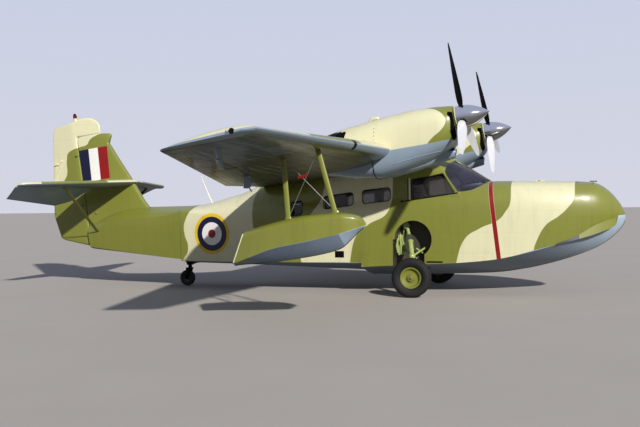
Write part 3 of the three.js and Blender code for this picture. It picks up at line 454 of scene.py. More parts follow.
class Graph:
    """Short calls that add and link nodes in one tree"""

    def __init__(self, tree):
        self.tree = tree

    def add(self, kind, inputs=None, **settings):
        node = self.tree.nodes.new(kind)
        for key, value in settings.items():
            setattr(node, key, value)
        self.fill(node, inputs or {})
        return node

    def fill(self, node, inputs):
        for key, value in inputs.items():
            self.feed(node.inputs[key], value)

    def feed(self, socket, value):
        if isinstance(value, bpy.types.NodeSocket):
            self.tree.links.new(value, socket)
        else:
            socket.default_value = value

    def math(self, operation, a, b=0.0, c=0.0, clamp=False):
        return self.add("ShaderNodeMath", {0: a, 1: b, 2: c}, operation=operation, use_clamp=clamp).outputs[0]

    def times(self, a, b):
        return self.math("MULTIPLY", a, b)

    def plus(self, a, b, clamp=False):
        return self.math("ADD", a, b, clamp=clamp)

    def minus(self, a, b):
        return self.math("SUBTRACT", a, b)

    def scaled(self, a, factor, more):
        """a times a factor, and something more"""
        return self.math("MULTIPLY_ADD", a, factor, more)

    def mix(self, share, a, b, blend="MIX"):
        node = self.add("ShaderNodeMix", {0: share, 6: a, 7: b}, data_type="RGBA", blend_type=blend)
        return node.outputs[2]

    def tinted(self, colour, factors):
        return self.mix(1.0, colour, (*factors, 1.0), "MULTIPLY")

    def relief(self, shader, height, strength, distance=0.002):
        bump = self.add("ShaderNodeBump", {"Height": height, "Strength": strength, "Distance": distance})
        self.feed(shader.inputs["Normal"], bump.outputs[0])

    def above(self, value, limit, soft=0.006):
        """1 where value is over limit, 0 below it, with a narrow edge"""
        over = self.math("SUBTRACT", value, limit)
        return self.math("MULTIPLY_ADD", over, 1 / soft, 0.5, clamp=True)

    def between(self, value, low, high, soft=0.006):
        return self.math("MULTIPLY", self.above(value, low, soft), self.above(high, value, soft), clamp=True)

    def spread(self, value, low, high, new_low, new_high):
        return self.add("ShaderNodeMapRange", {0: value, 1: low, 2: high, 3: new_low, 4: new_high}).outputs[0]

    def curve(self, value, points):
        """A smooth curve through (input, output) points"""
        points = sorted(points)
        low, high = points[0][0], points[-1][0]
        bottom, top = min(p[1] for p in points), max(p[1] for p in points)
        node = self.add("ShaderNodeFloatCurve", {"Value": self.spread(value, low, high, 0.0, 1.0)})
        line = node.mapping.curves[0]
        spots = [((a - low) / (high - low), (b - bottom) / (top - bottom)) for a, b in points]
        line.points[0].location, line.points[1].location = spots[0], spots[-1]
        for spot in spots[1:-1]:
            line.points.new(*spot)
        node.mapping.update()
        return self.math("MULTIPLY_ADD", node.outputs[0], top - bottom, bottom)

    def noise(self, vector, scale, detail=3.0, rough=0.5):
        node = self.add("ShaderNodeTexNoise", {"Vector": vector, "Scale": scale, "Detail": detail,
                                               "Roughness": rough})
        return node.outputs["Fac"]

    def place(self):
        """The point on the object, and its three parts"""
        point = self.add("ShaderNodeTexCoord").outputs["Object"]
        parts = self.add("ShaderNodeSeparateXYZ", {0: point}).outputs
        return point, parts[0], parts[1], parts[2]

    def stretched(self, point, scale):
        return self.add("ShaderNodeMapping", {"Vector": point, "Scale": scale}).outputs[0]


def linear(colour):
    """A display colour as the linear colour that a shader wants"""
    channels = [c / 12.92 if c <= 0.04045 else ((c + 0.055) / 1.055) ** 2.4 for c in colour]
    return (*channels, 1.0)


def group_tree(name, inputs, outputs, kind="ShaderNodeTree"):
    """A node group with named sockets, its graph, and its input and output nodes"""
    tree = bpy.data.node_groups.new(name, kind)
    for direction, sockets in (("INPUT", inputs), ("OUTPUT", outputs)):
        for label, socket_type, *default in sockets:
            socket = tree.interface.new_socket(label, in_out=direction, socket_type=socket_type)
            if default:
                socket.default_value = default[0]
    graph = Graph(tree)
    return tree, graph, graph.add("NodeGroupInput").outputs, graph.add("NodeGroupOutput").inputs


def once(build):
    """Builds something the first time it is asked for"""
    made = {}

    def get(*args):
        if args not in made:
            made[args] = build(*args)
        return made[args]
    return get


@once
def weathering():
    """Sun-faded patches, rain streaks and grime over a paint colour"""
    tree, g, given, out = group_tree(
        "weathering",
        [("Colour", "NodeSocketColor"), ("Fade", "NodeSocketFloat", 0.12), ("Grime", "NodeSocketFloat", 0.15),
         ("Gloss", "NodeSocketFloat", 0.4)],
        [("Colour", "NodeSocketColor"), ("Roughness", "NodeSocketFloat")])
    point, _, _, height = g.place()
    patches = g.noise(point, 1.7, 4.0, 0.6)
    streaks = g.noise(g.stretched(point, (9.0, 9.0, 0.9)), 1.6, 4.0, 0.62)
    specks = g.noise(point, 60.0, 2.0)
    low = g.spread(height, 0.25, 1.0, 1.0, 0.0)
    faded = g.times(given["Fade"], g.spread(patches, 0.35, 0.75, 0.0, 1.0))
    pale = g.tinted(given["Colour"], (1.2, 1.18, 1.12))
    colour = g.mix(faded, given["Colour"], pale)
    dirt = g.times(g.spread(streaks, 0.5, 0.78, 0.0, 1.0), given["Grime"])
    splash = g.times(g.times(low, g.spread(specks, 0.4, 0.7, 0.0, 1.0)), given["Grime"])
    soiled = g.tinted(colour, (0.34, 0.31, 0.26))
    colour = g.mix(g.plus(dirt, splash, clamp=True), colour, soiled)
    worn = g.scaled(patches, 0.16, -0.08)
    rough = g.plus(g.plus(given["Gloss"], worn), g.times(dirt, 0.4), clamp=True)
    g.feed(out["Colour"], colour)
    g.feed(out["Roughness"], rough)
    return tree


@once
def sheet_seams():
    """Height of riveted sheet metal: lap seams at even steps, and a slight waviness between"""
    tree, g, given, out = group_tree(
        "sheet_seams",
        [("Frame step", "NodeSocketFloat", 0.35), ("Stringer step", "NodeSocketFloat", 0.3),
         ("Across", "NodeSocketFloat", 0.0), ("Waviness", "NodeSocketFloat", 0.5)],
        [("Height", "NodeSocketFloat"), ("Seam", "NodeSocketFloat")])
    point, x, y, z = g.place()
    seams = None
    second = g.plus(g.times(y, given["Across"]),
                    g.times(z, g.minus(1.0, given["Across"])))
    for value, step in ((x, given["Frame step"]), (second, given["Stringer step"])):
        inside_step = g.math("ABSOLUTE", g.minus(g.math("FRACT", g.math("DIVIDE", value, step)), 0.5))
        near = g.times(g.minus(0.5, inside_step), step)
        line = g.above(0.0025, near, 0.003)
        seams = line if seams is None else g.math("MAXIMUM", seams, line)
    waves = g.noise(point, 5.5, 1.5, 0.4)
    height = g.minus(g.times(waves, given["Waviness"]), g.times(seams, 0.16))
    g.feed(out["Height"], height)
    g.feed(out["Seam"], seams)
    return tree


def new_material(name):
    """A material with a Principled shader, its graph and that shader"""
    material = bpy.data.materials.new(name)
    material.use_nodes = True
    graph = Graph(material.node_tree)
    return material, graph, material.node_tree.nodes["Principled BSDF"]


def painted(name, colour_of, gloss=0.36, fade=0.14, grime=0.16, seams=(0.35, 0.3, 0.0), bump=0.25,
            coat=0.25, shine=0.5):
    """Aircraft paint: colour_of(graph, place) gives its colour before weathering and seams"""
    material, g, shader = new_material(name)
    colour = colour_of(g, g.place())
    weather = g.add("ShaderNodeGroup", node_tree=weathering())
    g.fill(weather, {"Colour": colour, "Fade": fade, "Grime": grime, "Gloss": gloss})
    result = weather.outputs["Colour"]
    if seams:
        sheet = g.add("ShaderNodeGroup", node_tree=sheet_seams())
        for key, value in zip(("Frame step", "Stringer step", "Across"), seams):
            sheet.inputs[key].default_value = value
        result = g.mix(g.times(sheet.outputs["Seam"], 0.1), result, (0.04, 0.04, 0.03, 1.0))
        g.relief(shader, sheet.outputs["Height"], bump, 0.004)
    g.fill(shader, {"Base Color": result, "Roughness": weather.outputs["Roughness"], "Coat Weight": coat,
                    "Coat Roughness": 0.12, "Specular IOR Level": shine})
    return material


def camouflage(part, colour_of, **settings):
    """A function that gives a part's camouflage paint"""
    return once(lambda: painted(f"{part}_camouflage", colour_of, **settings))


def flat_paint(name, colour, **settings):
    """A function that gives a paint of one colour"""
    return once(lambda: painted(name, lambda g, place: g.mix(0.0, linear(colour), WHITE), seams=None, **settings))


# Sizes and colours that a user would change

def length(name, description, default):
    return bpy.props.FloatProperty(name=name, description=description, default=default, unit="LENGTH")


def colour(name, description, default):
    return bpy.props.FloatVectorProperty(name=name, description=description, default=default,
                                         subtype="COLOR_GAMMA", min=0, max=1)


class FlyingBoatSizes(bpy.types.PropertyGroup):
    """Sizes of what is added to the frame"""
    rivet_radius: length("Rivet radius", "Radius of a rivet's domed head", 0.0032)
    rivet_pitch: length("Rivet pitch", "Distance between rivets in a row", 0.042)
    glass_thickness: length("Glass thickness", "Thickness of the panes", 0.005)
    moulding: length("Window moulding", "Radius of the rubber around the windows", 0.007)
    wire_radius: length("Bracing wire radius", "Radius of the wires between the float struts", 0.0045)
    tread_grooves: bpy.props.IntProperty(name="Tread grooves", description="Grooves around each main tyre", default=4)
    cushion_crown: length("Cushion crown", "How far a cushion may swell", 0.022)


class FlyingBoatColours(bpy.types.PropertyGroup):
    """Display colours of the finishes"""
    olive: colour("Olive", "Green of the camouflage", (0.5, 0.515, 0.205))
    cream: colour("Cream", "Pale patches of the camouflage", (0.88, 0.866, 0.72))
    sky: colour("Sky blue", "Blue-grey of the undersides", (0.56, 0.625, 0.695))
    bright_sky: colour("Bright sky blue", "Fairing strip under the ailerons", (0.29, 0.44, 0.6))
    primer: colour("Primer", "Pale green of the wheel legs", (0.64, 0.7, 0.42))
    # Painted shade: the undersides' sky blue as it looks in shade with the ground reflected in it, not a paint of its
    # own
    shaded: colour("Wing underside", "Dark green of the wings' lower skin", (0.245, 0.255, 0.19))
    navy: colour("Navy", "Blue of the roundel and the fin stripe", (0.0, 0.015, 0.195))
    red: colour("Red", "Red of the stripes", (0.545, 0.0, 0.01))
    yellow: colour("Yellow", "Outer ring of the roundel", (0.9, 0.745, 0.12))
    leather: colour("Leather", "Upholstery", (0.43, 0.255, 0.175))


def sizes():
    return bpy.context.scene.flying_boat_sizes


def tone(name):
    return linear(getattr(bpy.context.scene.flying_boat_colours, name))


WHITE = linear((0.94, 0.94, 0.93))

# Where one colour of the camouflage meets the next on the hull's sides: heights and x, from the bow
HULL_BOUNDS = [
    [(1.65, 4.055), (1.589, 4.052), (1.371, 4.043), (1.25, 3.97), (1.136, 3.855), (0.976, 3.645),
     (0.788, 3.541), (0.667, 3.499), (0.4, 3.47)],
    [(1.65, 3.183), (1.605, 3.183), (1.303, 3.178), (1.195, 3.118), (1.089, 3.033), (0.955, 2.751),
     (0.792, 2.531), (0.476, 2.42), (0.3, 2.4)],
    [(2.1, 1.52), (1.627, 1.497), (1.378, 1.481), (1.198, 1.416), (1.024, 1.13), (0.821, 0.917),
     (0.46, 0.83), (0.3, 0.8)],
    [(2.1, 0.52), (1.482, 0.414), (1.222, 0.258), (0.942, 0.048), (0.7, 0.02), (0.4, 0.08)],
    [(1.9, -0.66), (1.511, -0.716), (1.244, -0.763), (0.975, -0.747), (0.4, -0.7)],
    [(1.5, -1.8), (1.279, -1.893), (1.096, -1.999), (0.985, -2.031), (0.849, -2.014), (0.651, -1.958),
     (0.489, -2.032), (0.4, -2.1)],
]
# Upper edge of the blue-grey bottom: x and height
CHINE_LINE = [(-4.1, 0.636), (-3.26, 0.556), (-2.77, 0.507), (-2.49, 0.478), (-2.11, 0.447), (-2.07, 0.43),
    (-1.12, 0.44), (0.0, 0.45), (0.995, 0.45), (1.025, 0.392), (1.467, 0.416), (2.263, 0.452), (2.442, 0.464),
    (3.023, 0.519), (3.205, 0.56), (3.499, 0.645), (3.792, 0.718), (4.104, 0.798), (4.404, 0.892), (4.596, 0.985),
    (4.616, 1.01), (4.628, 1.117), (4.74, 1.123)]
ROUNDEL = {"x": -1.502, "z": 0.88, "yellow": 0.325, "navy": 0.272, "white": 0.182, "red": 0.068}
RED_LINE = Sizes(x=2.894, half=0.03, slope=0.113, z=1.6, top=1.622, edge=0.0028)


def olive_and_cream(g, cream_share):
    return g.mix(cream_share, tone("olive"), tone("cream"))


def striped(g, x, z, bounds):
    """Alternates 0 and 1 at each boundary, from the bow"""
    share = None
    for k, points in enumerate(bounds):
        passed = g.above(g.curve(z, points), x, 0.01)
        signed = g.times(passed, 1.0 if k % 2 == 0 else -1.0)
        share = signed if share is None else g.plus(share, signed)
    return g.math("MAXIMUM", share, 0.0, clamp=True)


def hull_colour(g, place):
    _, x, y, z = place
    port = g.math("MAXIMUM", y, 0.0)
    along = g.scaled(port, 0.5, x)
    colour = olive_and_cream(g, striped(g, along, z, HULL_BOUNDS))
    low = g.above(g.curve(x, CHINE_LINE), z, 0.005)
    # Painted highlight: the blue bottom is made lighter towards the bow, where it faces the sun
    bottom = g.tinted(tone("sky"), (1.75, 1.72, 1.65))
    colour = g.mix(low, colour, g.mix(g.spread(x, 3.6, 4.62, 0.0, 1.0), tone("sky"), bottom))
    leaned = g.scaled(z, RED_LINE.slope, x)
    middle = RED_LINE.x + RED_LINE.slope * RED_LINE.z
    off = g.math("ABSOLUTE", g.minus(leaned, middle))
    dry = g.times(g.minus(1.0, low), g.above(RED_LINE.top, z, 0.004))
    colour = g.mix(g.times(g.above(RED_LINE.half + RED_LINE.edge, off, 0.004), dry), colour, tone("cream"))
    colour = g.mix(g.times(g.above(RED_LINE.half, off, 0.004), dry), colour, tone("red"))
    dx = g.minus(x, ROUNDEL["x"])
    dz = g.minus(z, ROUNDEL["z"])
    away = g.math("SQRT", g.plus(g.times(dx, dx), g.times(dz, dz)))
    for name, paint in (("yellow", tone("yellow")), ("navy", tone("navy")), ("white", WHITE), ("red", tone("red"))):
        colour = g.mix(g.above(ROUNDEL[name], away, 0.005), colour, paint)
    return colour


hull_paint = camouflage("hull", hull_colour)


TAIL_BOUND = [(1.55, -5.0), (1.6, -4.8), (1.7, -4.58), (1.785, -4.514), (1.878, -4.455), (2.145, -4.448),
              (2.261, -4.417), (2.315, -4.333), (2.36, -4.17), (2.398, -4.027), (2.477, -3.972),
              (2.548, -3.86), (2.62, -3.6), (2.68, -3.3)]
FLASH = {"slope": 0.1, "z": 1.79, "aft": -4.135, "white": -3.943, "red": -3.762, "front": -3.582,
         "top": 2.322, "bottom": 1.765, "rise": 0.125}


def tail_colour(g, place):
    _, x, _, z = place
    colour = olive_and_cream(g, g.above(g.curve(z, TAIL_BOUND), x, 0.008))
    u = g.scaled(g.minus(z, FLASH["z"]), FLASH["slope"], x)
    tilted = g.minus(z, g.times(g.minus(x, -4.0), FLASH["rise"]))
    banner = g.between(tilted, FLASH["bottom"], FLASH["top"], 0.005)
    for low, high, paint in (("aft", "white", tone("navy")), ("white", "red", WHITE),
                             ("red", "front", tone("red"))):
        share = g.times(banner, g.between(u, FLASH[low], FLASH[high], 0.005))
        colour = g.mix(share, colour, paint)
    return colour


tail_paint = camouflage("tail", tail_colour, seams=(0.42, 0.38, 0.0))


def rudder_colour(g, place):
    _, x, _, z = place
    return olive_and_cream(g, g.above(g.curve(z, TAIL_BOUND), x, 0.008))


rudder_paint = camouflage("rudder", rudder_colour, seams=(5.0, 0.25, 0.0), grime=0.1)


def underside_or(g, place, plane, upper, lower):
    """One colour below a plane (a, b, c), another above it: z = a + b x + c max(|y| - break, 0)"""
    _, x, y, z = place
    out = g.math("MAXIMUM", g.minus(g.math("ABSOLUTE", y), WING.break_y), 0.0)
    level = g.scaled(x, plane[1], plane[0])
    level = g.scaled(out, plane[2], level)
    return g.mix(g.above(z, level, 0.006), lower, upper)


def wing_underside(g, place):
    """Light blue along the leading edge and the tip. Behind it is painted shade: dark green and dark blue in mottled
    patches, with painted shadows of the ribs and beads.
    """
    point, x, y, _ = place
    span = g.math("ABSOLUTE", y)
    outer = g.math("MAXIMUM", g.minus(span, WING.break_y), 0.0)
    behind = g.minus(g.scaled(outer, -0.0572, WING.le_x), x)
    # Painted shadows of the ribs: a sine across the span darkens the skin
    ribs = g.math("SINE", g.times(span, 26.0))
    # Painted shade in mottled patches, and painted shadows of the beads in spanwise bands
    mottled_shade = g.noise(g.stretched(point, (0.8, 3.2, 1.0)), 1.3, 5.0, 0.6)
    bead_shadow_bands = g.noise(g.stretched(point, (5.0, 0.5, 1.0)), 2.2, 2.0, 0.5)
    shade = g.plus(g.spread(mottled_shade, 0.35, 0.7, 0.35, 1.1), g.spread(bead_shadow_bands, 0.4, 0.62, -0.22, 0.58))
    shade = g.scaled(ribs, 0.08, shade)
    # Painted shade: outboard the sky blue is darkened; inboard the dark green tone also stands in for the ground's
    # reflection
    blue = g.tinted(tone("sky"), (0.42, 0.44, 0.5))
    paint = g.mix(g.above(g.scaled(mottled_shade, 0.5, span), 4.62, 0.1), tone("shaded"), blue)
    shaded = g.mix(1.0, paint, g.add("ShaderNodeCombineColor", {0: shade, 1: shade, 2: shade}).outputs[0], "MULTIPLY")
    edge = g.math("MAXIMUM", g.above(0.06, behind, 0.03), g.above(span, 5.99, 0.03))
    return g.mix(edge, shaded, tone("sky"))


def wing_colour(g, place):
    point, x, y, _ = place
    wander = g.scaled(g.noise(point, 0.55, 1.0), 2.2, -1.1)
    chordwise = g.times(x, 0.55)
    phase = g.plus(g.plus(g.math("ABSOLUTE", y), wander), chordwise)
    wave = g.math("SINE", g.scaled(phase, 2.1, 0.9))
    upper = olive_and_cream(g, g.above(wave, 0.0, 0.02))
    start = WING.le_z + 0.018 - SLOPE * WING.le_x
    return underside_or(g, place, (start, SLOPE, SLOPE * 0.0591), upper, wing_underside(g, place))


wing_paint = camouflage("wing", wing_colour, seams=(0.32, 0.46, 1.0))


def tail_patches(g, place):
    _, x, y, _ = place
    wave = g.math("SINE", g.scaled(g.plus(y, g.times(x, 0.7)), 2.4, 1.0))
    return olive_and_cream(g, g.above(wave, 0.25, 0.02))


def tailplane_colour(g, place):
    _, x, _, z = place
    upper = tail_patches(g, place)
    level = g.scaled(g.minus(x, TAIL.hinge_x), TAIL.slope, TAIL.hinge_z)
    # Painted shade: the underside's sky blue, darkened
    lower = g.tinted(tone("sky"), (0.46, 0.47, 0.46))
    return g.mix(g.above(z, level, 0.004), lower, upper)


tailplane_paint = camouflage("tailplane", tailplane_colour, seams=(5.0, 0.4, 1.0))


def elevator_colour(g, place):
    _, x, _, z = place
    upper = tail_patches(g, place)
    aft = g.math("MINIMUM", g.minus(x, TAIL.hinge_x), 0.0)
    level = g.scaled(aft, ELEVATOR.fall, TAIL.hinge_z)
    return g.mix(g.above(z, level, 0.004), tone("sky"), upper)


elevator_paint = camouflage("elevator", elevator_colour, seams=(5.0, 0.22, 1.0))


NACELLE_BOUND = [(1.95, 2.16), (2.121, 2.248), (2.195, 2.314), (2.285, 2.418), (2.378, 2.475), (2.46, 2.463),
                 (2.55, 2.361), (2.595, 2.2), (2.62, 1.7), (2.66, 1.2)]


def nacelle_colour(g, place):
    _, x, _, z = place
    cream = g.above(g.curve(z, NACELLE_BOUND), x, 0.008)
    colour = olive_and_cream(g, cream)
    level = g.curve(x, [(0.0, 1.93), (0.9, 1.93), (1.4, 1.985), (1.775, 2.047), (2.253, 2.115), (2.478, 2.158),
                        (2.7, 2.2)])
    return g.mix(g.above(level, z, 0.005), colour, tone("sky"))


nacelle_paint = camouflage("nacelle", nacelle_colour, seams=(0.62, 5.0, 0.0), grime=0.1)


FLOAT_LINE = [(0.383, 0.676), (0.503, 0.7), (0.667, 0.772), (0.93, 0.864), (1.27, 0.934), (1.69, 1.026),
              (1.863, 1.081), (1.95, 1.115)]


def float_colour(g, place):
    _, x, _, z = place
    lit = g.tinted(tone("sky"), (1.55, 1.55, 1.55))
    shaded = g.tinted(tone("sky"), (0.6, 0.64, 0.72))
    ahead = g.above(g.scaled(z, 0.21, x), 1.9, 0.008)
    shaded = g.mix(g.spread(x, 1.0, 1.65, 0.0, 0.6), shaded, tone("sky"))
    return g.mix(g.above(g.curve(x, FLOAT_LINE), z, 0.004), tone("olive"), g.mix(ahead, shaded, lit))


@once
def float_paint():
    return painted("float_paint", float_colour, seams=(0.4, 5.0, 0.0))


@once
def plain_paint(tint):
    return painted(f"{tint}_paint", lambda g, place: g.mix(0.0, tone(tint), tone(tint)), gloss=0.4, seams=None)


black_paint = flat_paint("black_paint", (0.02, 0.02, 0.028), gloss=0.55, fade=0.0, coat=0.0, shine=0.12)
blade_grey = flat_paint("blade_grey_paint", (0.86, 0.86, 0.89), gloss=0.35, fade=0.05, grime=0.12)
# Dull trim of the cabin's inside; it also lines the wheel wells, where it is painted shade
cabin_trim = flat_paint("cabin_trim", (0.27, 0.25, 0.21), gloss=0.7, fade=0.1, grime=0.4)


@once
def polished_metal():
    """Turned and polished sheet, with faint rings of its polishing"""
    material, g, shader = new_material("polished_metal")
    point = g.place()[0]
    smears = g.noise(g.stretched(point, (18.0, 3.0, 3.0)), 5.0, 4.0)
    g.fill(shader, {"Base Color": g.mix(smears, linear((0.74, 0.74, 0.76)), linear((0.86, 0.86, 0.88))),
                    "Roughness": g.scaled(smears, 0.12, 0.04), "Metallic": 1.0})
    return material


@once
def bare_metal():
    material, g, shader = new_material("bare_metal")
    point = g.place()[0]
    scratches = g.noise(g.stretched(point, (60.0, 60.0, 8.0)), 6.0, 3.0)
    g.fill(shader, {"Base Color": g.mix(scratches, linear((0.55, 0.56, 0.57)), linear((0.74, 0.74, 0.73))),
                    "Roughness": g.scaled(scratches, 0.25, 0.25), "Metallic": 0.9})
    return material


@once
def cast_metal():
    material, g, shader = new_material("cast_metal")
    point = g.place()[0]
    grain = g.noise(point, 90.0, 3.0)
    g.fill(shader, {"Base Color": g.mix(grain, linear((0.22, 0.23, 0.25)), linear((0.38, 0.39, 0.41))),
                    "Roughness": g.scaled(grain, 0.2, 0.45), "Metallic": 0.7})
    g.relief(shader, grain, 0.3)
    return material


@once
def rubber():
    """Black rubber, paler with dust towards its foot"""
    material, g, shader = new_material("tyre_rubber")
    point, _, _, z = g.place()
    grain = g.noise(point, 55.0, 3.0)
    dusty = g.times(g.spread(z, 0.0, 0.28, 0.24, 0.03), grain)
    g.fill(shader, {"Base Color": g.mix(dusty, linear((0.05, 0.048, 0.055)), linear((0.34, 0.32, 0.3))),
                    "Roughness": g.scaled(grain, 0.2, 0.68)})
    g.relief(shader, grain, 0.2)
    return material


@once
def glass(kind):
    """Clear side glass, the windscreen's tinted glass, or the glass of a lamp"""
    material, g, shader = new_material(f"{kind}_glass")
    shade = {"clear": (0.66, 0.64, 0.62), "tinted": (0.5, 0.48, 0.57), "red": (0.75, 0.05, 0.04),
             "lamp": (0.92, 0.95, 0.97)}[kind]
    point = g.place()[0]
    film = g.noise(point, 7.0, 3.0)
    dark = linear([c * 0.93 for c in shade])
    g.fill(shader, {"Base Color": g.mix(film, linear(shade), dark), "Roughness": g.scaled(film, 0.05, 0.01),
                    "Transmission Weight": 0.96, "IOR": 1.45})
    return material


@once
def leather():
    material, g, shader = new_material("seat_leather")
    point = g.place()[0]
    creases = g.add("ShaderNodeTexVoronoi", {"Vector": point, "Scale": 160.0}, feature="DISTANCE_TO_EDGE")
    wear = g.noise(point, 6.0, 4.0)
    pale = linear([min(1.0, c * 1.35) for c in bpy.context.scene.flying_boat_colours.leather])
    g.fill(shader, {"Base Color": g.mix(wear, tone("leather"), pale), "Roughness": g.scaled(wear, 0.2, 0.42)})
    g.relief(shader, creases.outputs["Distance"], 0.25)
    return material


# Hull

GAP = 0.0003
# Beyond the hull's sides: half widths of the blocks that cut it, and where rays onto it start
REACH = 0.9
RAY_Y = 1.5
# Above and below the wing and the tail, where rays onto them start
RAY_HIGH, RAY_LOW = 3.2, 0.9
FLOOR_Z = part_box("hull_bottom")[1].z - 0.006
BOW_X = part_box("bow_hull")[0].x - GAP
AFT_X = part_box("tail_hull")[1].x + GAP
FIN_LEAN = tan(radians(8))

# Columns: x, keel z, chine half width, chine z, side half width, side z, top z, corner power
HULL_AHEAD = [
    [4.732, 1.07, 0.022, 1.098, 0.024, 1.106, 1.132, 2.2],
    [4.7, 0.985, 0.085, 1.092, 0.092, 1.12, 1.215, 2.2],
    [4.62, 0.88, 0.18, 1.075, 0.195, 1.135, 1.345, 2.4],
    [4.5, 0.768, 0.28, 1.045, 0.3, 1.15, 1.478, 2.6],
    [4.33, 0.66, 0.375, 0.98, 0.4, 1.155, 1.58, 2.8],
    [4.05, 0.542, 0.47, 0.815, 0.5, 1.15, 1.612, 3.0],
    [3.7, 0.432, 0.55, 0.69, 0.578, 1.13, 1.622, 3.2],
    [3.3, 0.34, 0.612, 0.583, 0.632, 1.11, 1.63, 3.4],
    [2.9, 0.284, 0.655, 0.505, 0.662, 1.1, 1.635, 3.6],
    [2.4, 0.262, 0.68, 0.46, 0.682, 1.1, 1.632, 3.6],
    [1.8, 0.25, 0.688, 0.432, 0.688, 1.1, 1.628, 3.4],
    [1.012, 0.236, 0.69, 0.392, 0.69, 1.1, 1.62, 3.2],
]
HULL_AMIDSHIPS = [
    [1.008, 0.296, 0.688, 0.449, 0.69, 1.1, 1.62, 3.2],
    [0.0, 0.33, 0.655, 0.45, 0.672, 1.08, 1.615, 3.0],
    [-0.6, 0.35, 0.59, 0.444, 0.612, 1.06, 1.612, 2.8],
    [-1.12, 0.365, 0.52, 0.438, 0.545, 1.07, 1.514, 2.6],
    [-1.5, 0.375, 0.47, 0.438, 0.49, 1.13, 1.417, 2.2],
    [-1.8, 0.381, 0.429, 0.44, 0.446, 1.195, 1.348, 1.9],
    [-2.096, 0.388, 0.388, 0.442, 0.404, 1.232, 1.325, 1.6],
]
HULL_AFT = [
    [-2.1, 0.43, 0.372, 0.462, 0.4, 1.231, 1.325, 1.6],
    [-2.486, 0.458, 0.32, 0.495, 0.345, 1.153, 1.32, 1.5],
    [-2.768, 0.487, 0.285, 0.524, 0.312, 1.117, 1.316, 1.5],
    [-3.258, 0.536, 0.22, 0.572, 0.245, 1.108, 1.29, 1.5],
    [-4.036, 0.616, 0.1, 0.65, 0.112, 0.84, 1.0, 2.0],
]
CORNER = 14
# Columns: x, half width, side z, roof z, corner power
CABIN = [
    [2.33, 0.652, 1.66, 1.985, 2.8],
    [2.0, 0.66, 1.7, 2.045, 2.8],
    [1.74, 0.664, 1.72, 2.085, 2.8],
    [1.2, 0.666, 1.69, 2.06, 2.8],
    [0.6, 0.66, 1.58, 1.95, 2.7],
    [0.0, 0.64, 1.44, 1.82, 2.6],
    [-0.62, 0.584, 1.29, 1.7, 2.5],
    [-1.09, 0.528, 1.18, 1.522, 2.4],
]
CABIN_ROOM = [
    [2.32, 0.622, 1.63, 1.915, 2.8],
    [1.76, 0.634, 1.64, 1.9, 2.8],
    [1.5, 0.636, 1.6, 1.83, 2.8],
    [1.2, 0.638, 1.52, 1.765, 2.8],
    [0.6, 0.63, 1.43, 1.685, 2.7],
    [0.0, 0.606, 1.31, 1.615, 2.6],
    [-0.62, 0.546, 1.2, 1.58, 2.5],
    [-1.06, 0.488, 1.1, 1.46, 2.4],
]
DECK_ROOM = [
    [2.855, 0.585, 1.38, 1.585, 3.2],
    [2.18, 0.614, 1.4, 1.6, 3.2],
]
CABIN_FOOT = 1.15
RIDGE = (2.87, 0.0, 1.63)
SILL = Sizes(x=2.44, y=0.64, z=1.48)
BROW_X = 2.31
SCREEN_WALL = 0.034
WELL = Sizes(x=1.79, z=0.8, r=0.275, out_y=0.72, in_y=0.43, x0=1.489, x1=1.957)
DOOR = Sizes(x0=-0.94, x1=-0.37, z0=0.83, z1=1.32)
DOOR_GAP = 0.006
DOOR_PIN = (DOOR.x1 + 0.003, 0.646, 0)
HATCH = Sizes(x0=3.56, x1=4.08, half_y=0.235, z=1.56)
HATCH_PIN = (HATCH.x0 - 0.003, 0, 1.636)
KNUCKLE = Sizes(length=0.04, radius=0.009)


def superellipse(half_y, side_z, top_z, power):
    return [(half_y * c ** (2 / power), side_z + (top_z - side_z) * s ** (2 / power)) for c, s in quarter(CORNER)]


def hull_section(row):
    x, keel, chine_y, chine_z, side_y, side_z, top, power = row
    half = [(chine_y * s, keel + (chine_z - keel) * s ** 1.25) for s in np.linspace(0, 1, 6)]
    for t in (0.25, 0.5, 0.75):
        half.append((chine_y + (side_y - chine_y) * t ** 0.737, chine_z + (side_z - chine_z) * t))
    half += superellipse(side_y, side_z, top, power)
    return mirror_ring(half, lambda y, z: x)


def hull_solid():
    rows = np.vstack([finer(HULL_AHEAD, 6), finer(HULL_AMIDSHIPS, 5), finer(HULL_AFT, 4)])
    return loft([hull_section(row) for row in rows])


def cabin_section(row, bottom, x_of=None):
    x, half_y, side_z, roof_z, power = row
    half = [(0, bottom), (half_y + 0.004, bottom), (half_y + 0.002, (3 * bottom + side_z) / 4),
            (half_y, (bottom + side_z) / 2), (half_y, (bottom + 3 * side_z) / 4)]
    half += superellipse(half_y, side_z, roof_z, power)
    return mirror_ring(half, x_of or (lambda y, z: x))


def screen_edge(inset):
    """The cabin's front edge: raked along the side posts, then forward to the brow"""
    def x_of(y, z):
        side = min(abs(y) / SILL.y, 1)
        post = SILL.x + (SILL.z - z) * 0.68
        return BROW_X + (post - BROW_X) * side ** 1.5 - inset
    return x_of


def cabin_body(rows, bottom, inset, steps=5):
    """The cabin, with its windscreen as a cone from the ridge's foot to the front edge"""
    table = finer(rows, steps)
    edge = screen_edge(inset)
    second = rows[1][0]
    sections = []
    for row in table:
        if row[0] > second + 1e-6:
            t = (rows[0][0] - row[0]) / (rows[0][0] - second)
            sections.append(cabin_section(row, bottom, lambda y, z, t=t: edge(y, z) * (1 - t) + second * t))
        else:
            sections.append(cabin_section(row, bottom))
    foot = np.array((RIDGE[0] - inset * 1.6, 0.0, RIDGE[2] - (0.06 if inset > 0.02 else inset)))
    first = np.array(sections[0])
    cone = [foot + (first - foot) * t for t in (0.04, 0.25, 0.5, 0.75)]
    return loft(cone + sections, foot)


